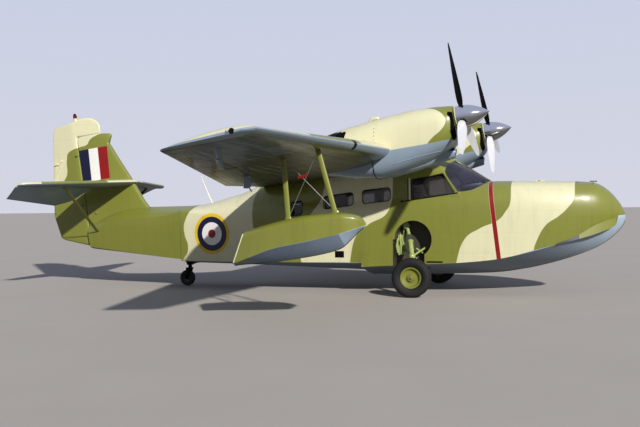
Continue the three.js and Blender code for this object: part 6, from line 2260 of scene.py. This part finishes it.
def cushion(name, low, high, seams=(), replaces=()):
    """A padded cushion that fills a box: swollen by simulation, with sewn channels across it"""
    crown = sizes().cushion_crown
    low, high = np.array(low, float), np.array(high, float)
    inset = np.minimum(crown * 0.75, (high - low) * 0.2)
    a, b = low + inset, high - inset
    obj = to_object(name, box(a[0], b[0], a[1], b[1], a[2], b[2]))
    bevel = obj.modifiers.new("edges", "BEVEL")
    bevel.width, bevel.segments = 0.018, 3
    remesh = obj.modifiers.new("voxels", "REMESH")
    remesh.mode, remesh.voxel_size = "VOXEL", 0.009
    baked(obj)
    rest = from_mesh(obj.data)[0]
    swell(obj)
    points = from_mesh(obj.data)[0]
    push = points - rest
    length = np.linalg.norm(push, axis=1)
    share = np.minimum(1, crown * 0.7 / np.maximum(length, 1e-9))
    points = rest + push * share[:, None]
    for axis, value in seams:
        away = np.abs(points[:, axis] - value)
        middle = (a + b) / 2
        pull = 0.01 * np.exp(-(away / 0.009) ** 2)
        out = points - middle
        out[:, axis] = 0
        out /= np.maximum(np.linalg.norm(out, axis=1), 1e-6)[:, None]
        points = points - out * pull[:, None]
    obj.data.vertices.foreach_set("co", points.ravel())
    obj.data.update()
    obj.data.materials.append(leather())
    smooth = obj.modifiers.new("finer", "SUBSURF")
    smooth.levels = smooth.render_levels = 1
    baked(obj)
    obj.data.shade_smooth()
    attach(obj, ROOT)
    if replaces:
        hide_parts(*replaces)
    return obj


def swell(obj):
    """Swells a cushion with air pressure and keeps the result as its mesh"""
    cloth = obj.modifiers.new("swell", "CLOTH")
    cloth.settings.use_pressure = True
    cloth.settings.uniform_pressure_force = 4
    cloth.settings.effector_weights.gravity = 0
    scene = bpy.context.scene
    for step in range(1, 16):
        scene.frame_set(step)
    baked(obj)
    scene.frame_set(1)


class FLYINGBOAT_OT_seats(bpy.types.Operator):
    """Builds the front seats and the rear bench"""
    bl_idname = "flyingboat.seats"
    bl_label = "Seats"

    def execute(self, context):
        for side, sign in SIDES.items():
            y0, y1 = sorted((sign * 0.035, sign * 0.395))
            rails = [box(1.5, 1.86, y, y + 0.03, FLOOR_Z + GAP, FLOOR_Z + 0.03) for y in (y0 + 0.03, y1 - 0.06)]
            legs = [bar((x, y, FLOOR_Z + 0.02), (x + 0.02, y, 0.88), 0.012, sides=10)
                    for x in (1.53, 1.8) for y in (y0 + 0.045, y1 - 0.045)]
            pan = box(1.48, 1.86, y0 + 0.02, y1 - 0.02, 0.875, 0.895)
            back = box(1.425, 1.44, y0 + 0.02, y1 - 0.02, 0.92, 1.48)
            piece(f"{side}_seat_frame", join(*rails, *legs, pan, back), black_paint(), ROOT, "black_paint",
                  bevel=0.003)
            seams = [(1, y0 + 0.12), (1, y1 - 0.12)]
            cushion(f"{side}_seat_cushion", (1.475, y0, 0.897), (1.885, y1, 1.005), seams=seams)
            cushion(f"{side}_seat_back", (1.442, y0, 1.0), (1.535, y1, 1.495), seams=seams,
                    replaces=[f"{side}_front_seat"])
        frame_part = join(box(0.34, 0.76, -0.52, 0.52, 0.64, 0.855), box(0.255, 0.272, -0.52, 0.52, 0.64, 1.36))
        piece("bench_frame", frame_part, cabin_trim(), ROOT, "black_paint", bevel=0.004)
        seams = [(1, y) for y in (-0.27, 0.0, 0.27)]
        cushion("bench_cushion", (0.33, -0.54, 0.857), (0.79, 0.54, 0.955), seams=seams)
        cushion("bench_back", (0.274, -0.54, 0.95), (0.385, 0.54, 1.375), seams=seams, replaces=["rear_bench"])
        return {"FINISHED"}


class FLYINGBOAT_OT_cockpit(bpy.types.Operator):
    """Builds the instrument panel with its dials, the coaming, the compass and the control wheels"""
    bl_idname = "flyingboat.cockpit"
    bl_label = "Cockpit"

    def execute(self, context):
        room = blanks()["room"]
        panel = kept(room, box(2.48, 2.52, -0.58, 0.58, 1.18, 1.54))
        dials, faces = [], []
        for row, z in enumerate((1.43, 1.32, 1.22)):
            for k in range(8 - row):
                y = (k - (7 - row) / 2) * 0.125
                if abs(y) > 0.5:
                    continue
                dials.append(ring([(0.036, -0.006), (0.042, -0.006), (0.042, 0.002), (0.036, 0.002)], 24,
                                  axis_matrix((2.48, y, z), (1, 0, 0))))
                faces.append(lathe([(0, -0.003), (0.035, -0.003), (0.035, 0.001), (0, 0.001)], 20,
                                   axis_matrix((2.48, y, z), (1, 0, 0))))
        piece("dashboard", panel, black_paint(), ROOT, "black_paint", ["instrument_panel"], bevel=0.002)
        piece("dial_rims", join(*dials), bare_metal(), ROOT, "bare_metal")
        piece("dial_faces", join(*faces), dial_paint(), ROOT, "black_paint")
        hood = [[(x, y, 1.545 + 0.055 * cos(y / 0.56 * pi / 2) + dz) for y in np.linspace(-0.56, 0.56, 21)]
                for x, dz in ((2.42, 0.0), (2.6, 0.012))]
        lower = [[(x, y, z - 0.012) for x, y, z in row][::-1] for row in hood]
        piece("coaming", kept(loft([np.array(a + b) for a, b in zip(hood, lower)]), room), black_paint(), ROOT,
              "black_paint")
        self.controls()
        compass = join(ball((2.37, 0.0, 1.8), 0.036, 16), bar((2.37, 0, 1.8), (2.335, 0, 1.885), 0.008))
        piece("compass", compass, black_paint(), ROOT, "black_paint")
        return {"FINISHED"}

    def controls(self):
        parts = [lathe([(0, 0), (0.05, 0), (0.045, 0.02), (0.03, 0.03), (0, 0.03)], 28,
                       axis_matrix((2.3, 0, FLOOR_Z + GAP), (0, 0, 1))),
                 bar((2.3, 0, FLOOR_Z + 0.02), (2.2, 0, 1.15), 0.022, sides=20),
                 bar((2.2, -0.24, 1.15), (2.2, 0.24, 1.15), 0.016, sides=16)]
        for y in (-0.24, 0.24):
            turns = np.radians(np.arange(0, 360, 12))
            arc = [(2.17, y + 0.105 * sin(a), 1.15 + 0.105 * cos(a)) for a in turns]
            parts.append(closed_ring_tube(arc, 0.01))
            parts.append(bar((2.205, y, 1.15), (2.155, y, 1.15), 0.022, sides=16))
            parts.append(bar((2.17, y, 1.048), (2.17, y, 1.252), 0.008, sides=10))
        piece("control_wheels", join(*parts), black_paint(), ROOT, "black_paint", ["control_column"])


def closed_ring_tube(path, radius, sides=10):
    """A round bar around a closed flat ring in a plane of constant x"""
    centre = np.mean(path, axis=0)
    verts = []
    for p in np.array(path):
        out = (p - centre) / np.linalg.norm(p - centre)
        for k in range(sides):
            a = k * 2 * pi / sides
            verts.append(p + radius * (cos(a) * out + sin(a) * np.array((1.0, 0, 0))))
    return hoop(verts, len(path))


@once
def dial_paint():
    """Black dial faces with a ring of pale marks"""
    material, g, shader = new_material("dial_face")
    _, _, y, z = g.place()
    ticks = g.math("SINE", g.times(g.plus(y, z), 900.0))
    g.fill(shader, {"Base Color": g.mix(g.above(ticks, 0.92, 0.05), linear((0.07, 0.07, 0.08)), WHITE),
                    "Roughness": 0.5})
    return material


# The aerial and other fittings on the hull

class FLYINGBOAT_OT_fittings(bpy.types.Operator):
    """Builds the aerial, the mooring cleats, the bilge vents and the rub strips"""
    bl_idname = "flyingboat.fittings"
    bl_label = "Hull fittings"

    def execute(self, context):
        whip = tube([(-1.7, 0.0, 1.35), (-1.768, 0.0, 1.493), (-1.905, 0.0, 1.816)], [0.012, 0.008, 0.0025], 10)
        foot = lathe([(0, 0), (0.03, 0), (0.024, 0.012), (0.012, 0.018), (0, 0.018)], 20,
                     axis_matrix((-1.708, 0, 1.366), (-0.15, 0, 1)))
        piece("whip_aerial", join(whip, foot), plain_paint("cream"), ROOT, "cream_paint")
        cleats = []
        for side in (-1, 1):
            x, y, z = 4.3, side * 0.2, 1.575
            cleats.append(bar((x, y, z), (x, y, z + 0.03), 0.008))
            cleats.append(bar((x - 0.05, y, z + 0.032), (x + 0.05, y, z + 0.032), 0.007))
        piece("mooring_cleats", join(*cleats), bare_metal(), ROOT, "bare_metal")
        vents = []
        for side in (-1, 1):
            spot = [(0.6, 0.528), (0.741, 0.528), (0.741, 0.626), (0.6, 0.626)]
            rays = [(x, side * RAY_Y, z) for x, z in dense(spot, 0.03)]
            edge = [tuple(h[0] + h[1] * 0.001) for h in hits_on(blanks()["outer"], rays, (0, -side, 0)) if h]
            vents.append(loft([np.array(edge) + (0, side * d, 0) for d in (-0.004, 0.001)]))
        piece("bilge_vents", join(*vents), black_paint(), ROOT, "black_paint")
        strips = []
        for side in (-1, 1):
            rays = [(x, side * RAY_Y, 0.474) for x in np.linspace(1.99, 2.22, 6)]
            strips.append(tube(points_on(blanks()["outer"], rays, (0, -side, 0)), 0.011, 8))
        piece("chine_rub_strips", join(*strips), black_paint(), ROOT, "black_paint")
        return {"FINISHED"}


# Rivets and bolts

@once
def stud_tree():
    """Puts a small domed head on each point of a guide mesh, along its 'outward' attribute"""
    tree, g, given, out = group_tree(
        "stud_rows",
        [("Guide", "NodeSocketGeometry"), ("Head radius", "NodeSocketFloat", 0.003),
         ("Head height", "NodeSocketFloat", 0.0015), ("Finish", "NodeSocketMaterial")],
        [("Heads", "NodeSocketGeometry")], "GeometryNodeTree")
    head = g.add("GeometryNodeMeshCone", {"Vertices": 6, "Side Segments": 1, "Fill Segments": 1,
                                          "Radius Bottom": given["Head radius"],
                                          "Radius Top": g.times(given["Head radius"], 0.55),
                                          "Depth": given["Head height"]})
    facing = g.add("GeometryNodeInputNamedAttribute", {"Name": "outward"}, data_type="FLOAT_VECTOR")
    turned = g.add("FunctionNodeAlignRotationToVector", {"Vector": facing.outputs["Attribute"]}, axis="Z")
    spread = g.add("GeometryNodeInstanceOnPoints", {"Points": given["Guide"], "Instance": head.outputs["Mesh"],
                                                    "Rotation": turned.outputs[0]})
    real = g.add("GeometryNodeRealizeInstances", {0: spread.outputs[0]})
    finished = g.add("GeometryNodeSetMaterial", {"Geometry": real.outputs[0], "Material": given["Finish"]})
    g.feed(out["Heads"], finished.outputs[0])
    return tree


def studs(name, spots, finish, body, slot):
    """One mesh of heads on spots, which are pairs of a point and its outward direction"""
    guide = bpy.data.meshes.new(name)
    guide.from_pydata([tuple(p) for p, _ in spots], [], [])
    attribute = guide.attributes.new("outward", "FLOAT_VECTOR", "POINT")
    attribute.data.foreach_set("vector", np.array([tuple(n) for _, n in spots], float).ravel())
    obj = bpy.data.objects.new(name, guide)
    bpy.context.scene.collection.objects.link(obj)
    tree = stud_tree()
    modifier = obj.modifiers.new("heads", "NODES")
    modifier.node_group = tree
    radius = sizes().rivet_radius
    values = {"Head radius": radius, "Head height": radius * 0.5, "Finish": finish}
    for socket in tree.interface.items_tree:
        if socket.item_type == "SOCKET" and socket.in_out == "INPUT" and socket.name in values:
            modifier[socket.identifier] = values[socket.name]
    baked(obj)
    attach(obj, body)
    return obj


def rows_on(shape, lines, direction, accept=lambda p, n: True):
    """Spots at even steps along lines, thrown onto a shape in one direction"""
    pitch = sizes().rivet_pitch
    tree = BVHTree.FromPolygons(shape[0].tolist(), shape[1])
    spots = []
    for a, b in lines:
        a, b = np.array(a, float), np.array(b, float)
        count = max(2, int(np.linalg.norm(b - a) / pitch))
        for t in np.linspace(0, 1, count):
            point, normal, _, _ = tree.ray_cast(Vector(a + (b - a) * t), Vector(direction))
            if point and accept(point, normal):
                spots.append((point, normal))
    return spots


class FLYINGBOAT_OT_rivets(bpy.types.Operator):
    """Builds the rows of rivets on the hull, wings and nacelles"""
    bl_idname = "flyingboat.rivets"
    bl_label = "Rivets"

    def execute(self, context):
        outer = blanks()["outer"]
        windows = [np.array(window_outline(row, 0.02)) for row in WINDOWS]

        def clear(p, n):
            here = np.array([[p.x, p.z]])
            free = not any(inside(here, w)[0] for w in windows)
            door = p.y > 0.3 and DOOR.x0 - 0.02 < p.x < DOOR.x1 + 0.02 and DOOR.z0 < p.z < DOOR.z1
            well = hypot(p.x - WELL.x, p.z - WELL.z) < WELL.r + 0.02 or (
                WELL.x0 < p.x < WELL.x1 and p.z < WELL.z)
            return free and not door and not well and abs(n.y) > 0.25
        spots = []
        for side in (-1, 1):
            frames = [((x, side * 1.3, 0.5), (x, side * 1.3, 1.62)) for x in np.arange(-3.85, 4.35, 0.35)]
            spots += rows_on(outer, frames, (0, -side, 0), clear)
            stringers = [((-3.9, side * 1.3, z), (4.3, side * 1.3, z)) for z in (0.62, 0.92, 1.22)]
            spots += rows_on(outer, stringers, (0, -side, 0), clear)
        deck = [((x, -0.45, 2.6), (x, 0.45, 2.6)) for x in (2.95, 3.25, 3.48, 4.15, 4.3)]
        deck += [((-1.2, y, 2.6), (-2.7, y, 2.6)) for y in (-0.18, 0.18)]
        spots += rows_on(outer, deck, (0, 0, -1), lambda p, n: n.z > 0.4)
        studs("hull_rivets", spots, hull_paint(), ROOT, "camouflage_paint")

        wing = wing_solid(0.0, GAP)
        nacelle = loft([oval_section(row) for row in finer(NACELLE, 4)])
        for side, sign in SIDES.items():
            lines = [((wing_at(y)[0] - 0.05, wing_at(y)[1] + 0.75), (y, y)) for y in np.arange(0.9, 5.8, 0.46)]
            lines.append(((1.55, 1.36), (2.0, 5.8)))
            spots = []
            for z, way in ((RAY_HIGH, -1), (RAY_LOW, 1)):
                rows = [((x0, sign * y0, z), (x1, sign * y1, z)) for (x0, x1), (y0, y1) in lines]
                spots += rows_on(on_side(wing, side), rows, (0, 0, way))
            studs(f"{side}_wing_rivets", spots, wing_paint(), ROOT, "camouflage_paint")
            y = sign * (ENGINE_Y + 1.0)
            lines = [((x, y, 1.75), (x, y, 2.5)) for x in (0.95, 1.25, 1.57, 1.85, 2.15, 2.42)]
            spots = rows_on(on_side(nacelle, side), lines, (0, -sign, 0), lambda p, n: abs(n.y) > 0.3)
            studs(f"{side}_nacelle_rivets", spots, nacelle_paint(), ROOT, "cream_paint")
        return {"FINISHED"}


# Stage

FLOOR_HALF = 90.0
SUN = Sizes(toward=(0.574, -0.681, 0.454), energy=4.1, width=1.6, colour=(1.0, 0.97, 0.91))
CAMERA = {"position": (4.441, -13.326, 1.41), "yaw": 17.83, "pitch": -0.95, "roll": -0.82,
          "focal_px": 883.1, "image_width_px": 640, "sensor_mm": 36.0}


class FLYINGBOAT_OT_stage(bpy.types.Operator):
    """Places the camera, the floor and the lights"""
    bl_idname = "flyingboat.stage"
    bl_label = "Stage"

    def execute(self, context):
        self.camera(context)
        floor, g, shader = new_material("floor")
        point = g.place()[0]
        pale = g.mix(g.noise(point, 0.8, 3.0), (0.47, 0.432, 0.405, 1), (0.52, 0.48, 0.452, 1))
        bounced = (0.2, 0.185, 0.17, 1)
        seen = g.add("ShaderNodeLightPath").outputs["Is Camera Ray"]
        g.fill(shader, {"Base Color": g.mix(seen, bounced, pale), "Roughness": 0.9})
        corners = np.array([(-1, -1, 0), (1, -1, 0), (1, 1, 0), (-1, 1, 0)]) * FLOOR_HALF
        ground = to_object("floor", (corners, [(0, 1, 2, 3)]))
        ground.data.materials.append(floor)
        self.lights(context)
        return {"FINISHED"}

    def camera(self, context):
        data = bpy.data.cameras.new("camera")
        data.sensor_width = CAMERA["sensor_mm"]
        data.lens = CAMERA["focal_px"] / CAMERA["image_width_px"] * CAMERA["sensor_mm"]
        data.clip_end = 400
        yaw, pitch, roll = (radians(CAMERA[k]) for k in ("yaw", "pitch", "roll"))
        ahead = Vector((-sin(yaw) * cos(pitch), cos(yaw) * cos(pitch), sin(pitch)))
        level = Vector((cos(yaw), sin(yaw), 0))
        upright = level.cross(ahead)
        right = cos(roll) * level + sin(roll) * upright
        up = -sin(roll) * level + cos(roll) * upright
        turn = Matrix((right, up, -ahead)).transposed().to_4x4()
        obj = bpy.data.objects.new("camera", data)
        obj.matrix_world = Matrix.Translation(CAMERA["position"]) @ turn
        context.scene.collection.objects.link(obj)
        context.scene.camera = obj

    def lights(self, context):
        sun = bpy.data.lights.new("sun", "SUN")
        sun.energy, sun.angle, sun.color = SUN.energy, radians(SUN.width), SUN.colour
        lamp = bpy.data.objects.new("sun", sun)
        lamp.rotation_mode = "QUATERNION"
        lamp.rotation_quaternion = Vector(SUN.toward).to_track_quat("Z", "Y")
        context.scene.collection.objects.link(lamp)
        world = bpy.data.worlds.new("sky")
        world.use_nodes = True
        g = Graph(world.node_tree)
        back = world.node_tree.nodes["Background"]
        rays = g.add("ShaderNodeTexCoord").outputs["Generated"]
        up = g.add("ShaderNodeSeparateXYZ", {0: rays}).outputs[2]
        seen = g.mix(g.spread(up, -0.02, 0.35, 0.0, 1.0), (0.66, 0.67, 0.76, 1), (0.55, 0.61, 0.78, 1))
        soft = g.mix(g.spread(up, 0.0, 0.6, 0.0, 1.0), (0.235, 0.245, 0.275, 1), (0.12, 0.145, 0.2, 1))
        path = g.add("ShaderNodeLightPath").outputs
        shine = g.times(path["Is Glossy Ray"], g.spread(up, 0.0, 0.5, 0.35, 0.9))
        bright = g.math("MAXIMUM", path["Is Camera Ray"], shine)
        g.feed(back.inputs["Color"], g.mix(bright, soft, seen))
        back.inputs["Strength"].default_value = 1.0
        context.scene.world = world
        context.scene.view_settings.view_transform = "Standard"


class FLYINGBOAT_PT_panel(bpy.types.Panel):
    """Lists what the flying boat is made of"""
    bl_label = "Flying boat"
    bl_idname = "FLYINGBOAT_PT_panel"
    bl_space_type = "VIEW_3D"
    bl_region_type = "UI"
    bl_category = "Flying boat"

    def draw(self, context):
        for operator in OPERATORS:
            self.layout.operator(operator.bl_idname)
        for group in (context.scene.flying_boat_sizes, context.scene.flying_boat_colours):
            for key in group.__annotations__:
                self.layout.prop(group, key)


OPERATORS = (
    FLYINGBOAT_OT_stage, FLYINGBOAT_OT_hull, FLYINGBOAT_OT_bow_hatch, FLYINGBOAT_OT_entry_door,
    FLYINGBOAT_OT_glazing, FLYINGBOAT_OT_wings, FLYINGBOAT_OT_wing_controls, FLYINGBOAT_OT_nacelles,
    FLYINGBOAT_OT_propellers, FLYINGBOAT_OT_fin_and_rudder, FLYINGBOAT_OT_tailplane, FLYINGBOAT_OT_floats,
    FLYINGBOAT_OT_undercarriage, FLYINGBOAT_OT_seats, FLYINGBOAT_OT_cockpit, FLYINGBOAT_OT_fittings,
    FLYINGBOAT_OT_rivets,
)
GROUPS = (FlyingBoatSizes, FlyingBoatColours)


def register():
    for cls in GROUPS + OPERATORS + (FLYINGBOAT_PT_panel,):
        bpy.utils.register_class(cls)
    bpy.types.Scene.flying_boat_sizes = bpy.props.PointerProperty(type=FlyingBoatSizes)
    bpy.types.Scene.flying_boat_colours = bpy.props.PointerProperty(type=FlyingBoatColours)


def unregister():
    del bpy.types.Scene.flying_boat_sizes
    del bpy.types.Scene.flying_boat_colours
    for cls in reversed(GROUPS + OPERATORS + (FLYINGBOAT_PT_panel,)):
        bpy.utils.unregister_class(cls)


def main():
    register()
    for operator in OPERATORS:
        package, name = operator.bl_idname.split(".")
        getattr(getattr(bpy.ops, package), name)()
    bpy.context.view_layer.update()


if __name__ == "__main__":
    main()
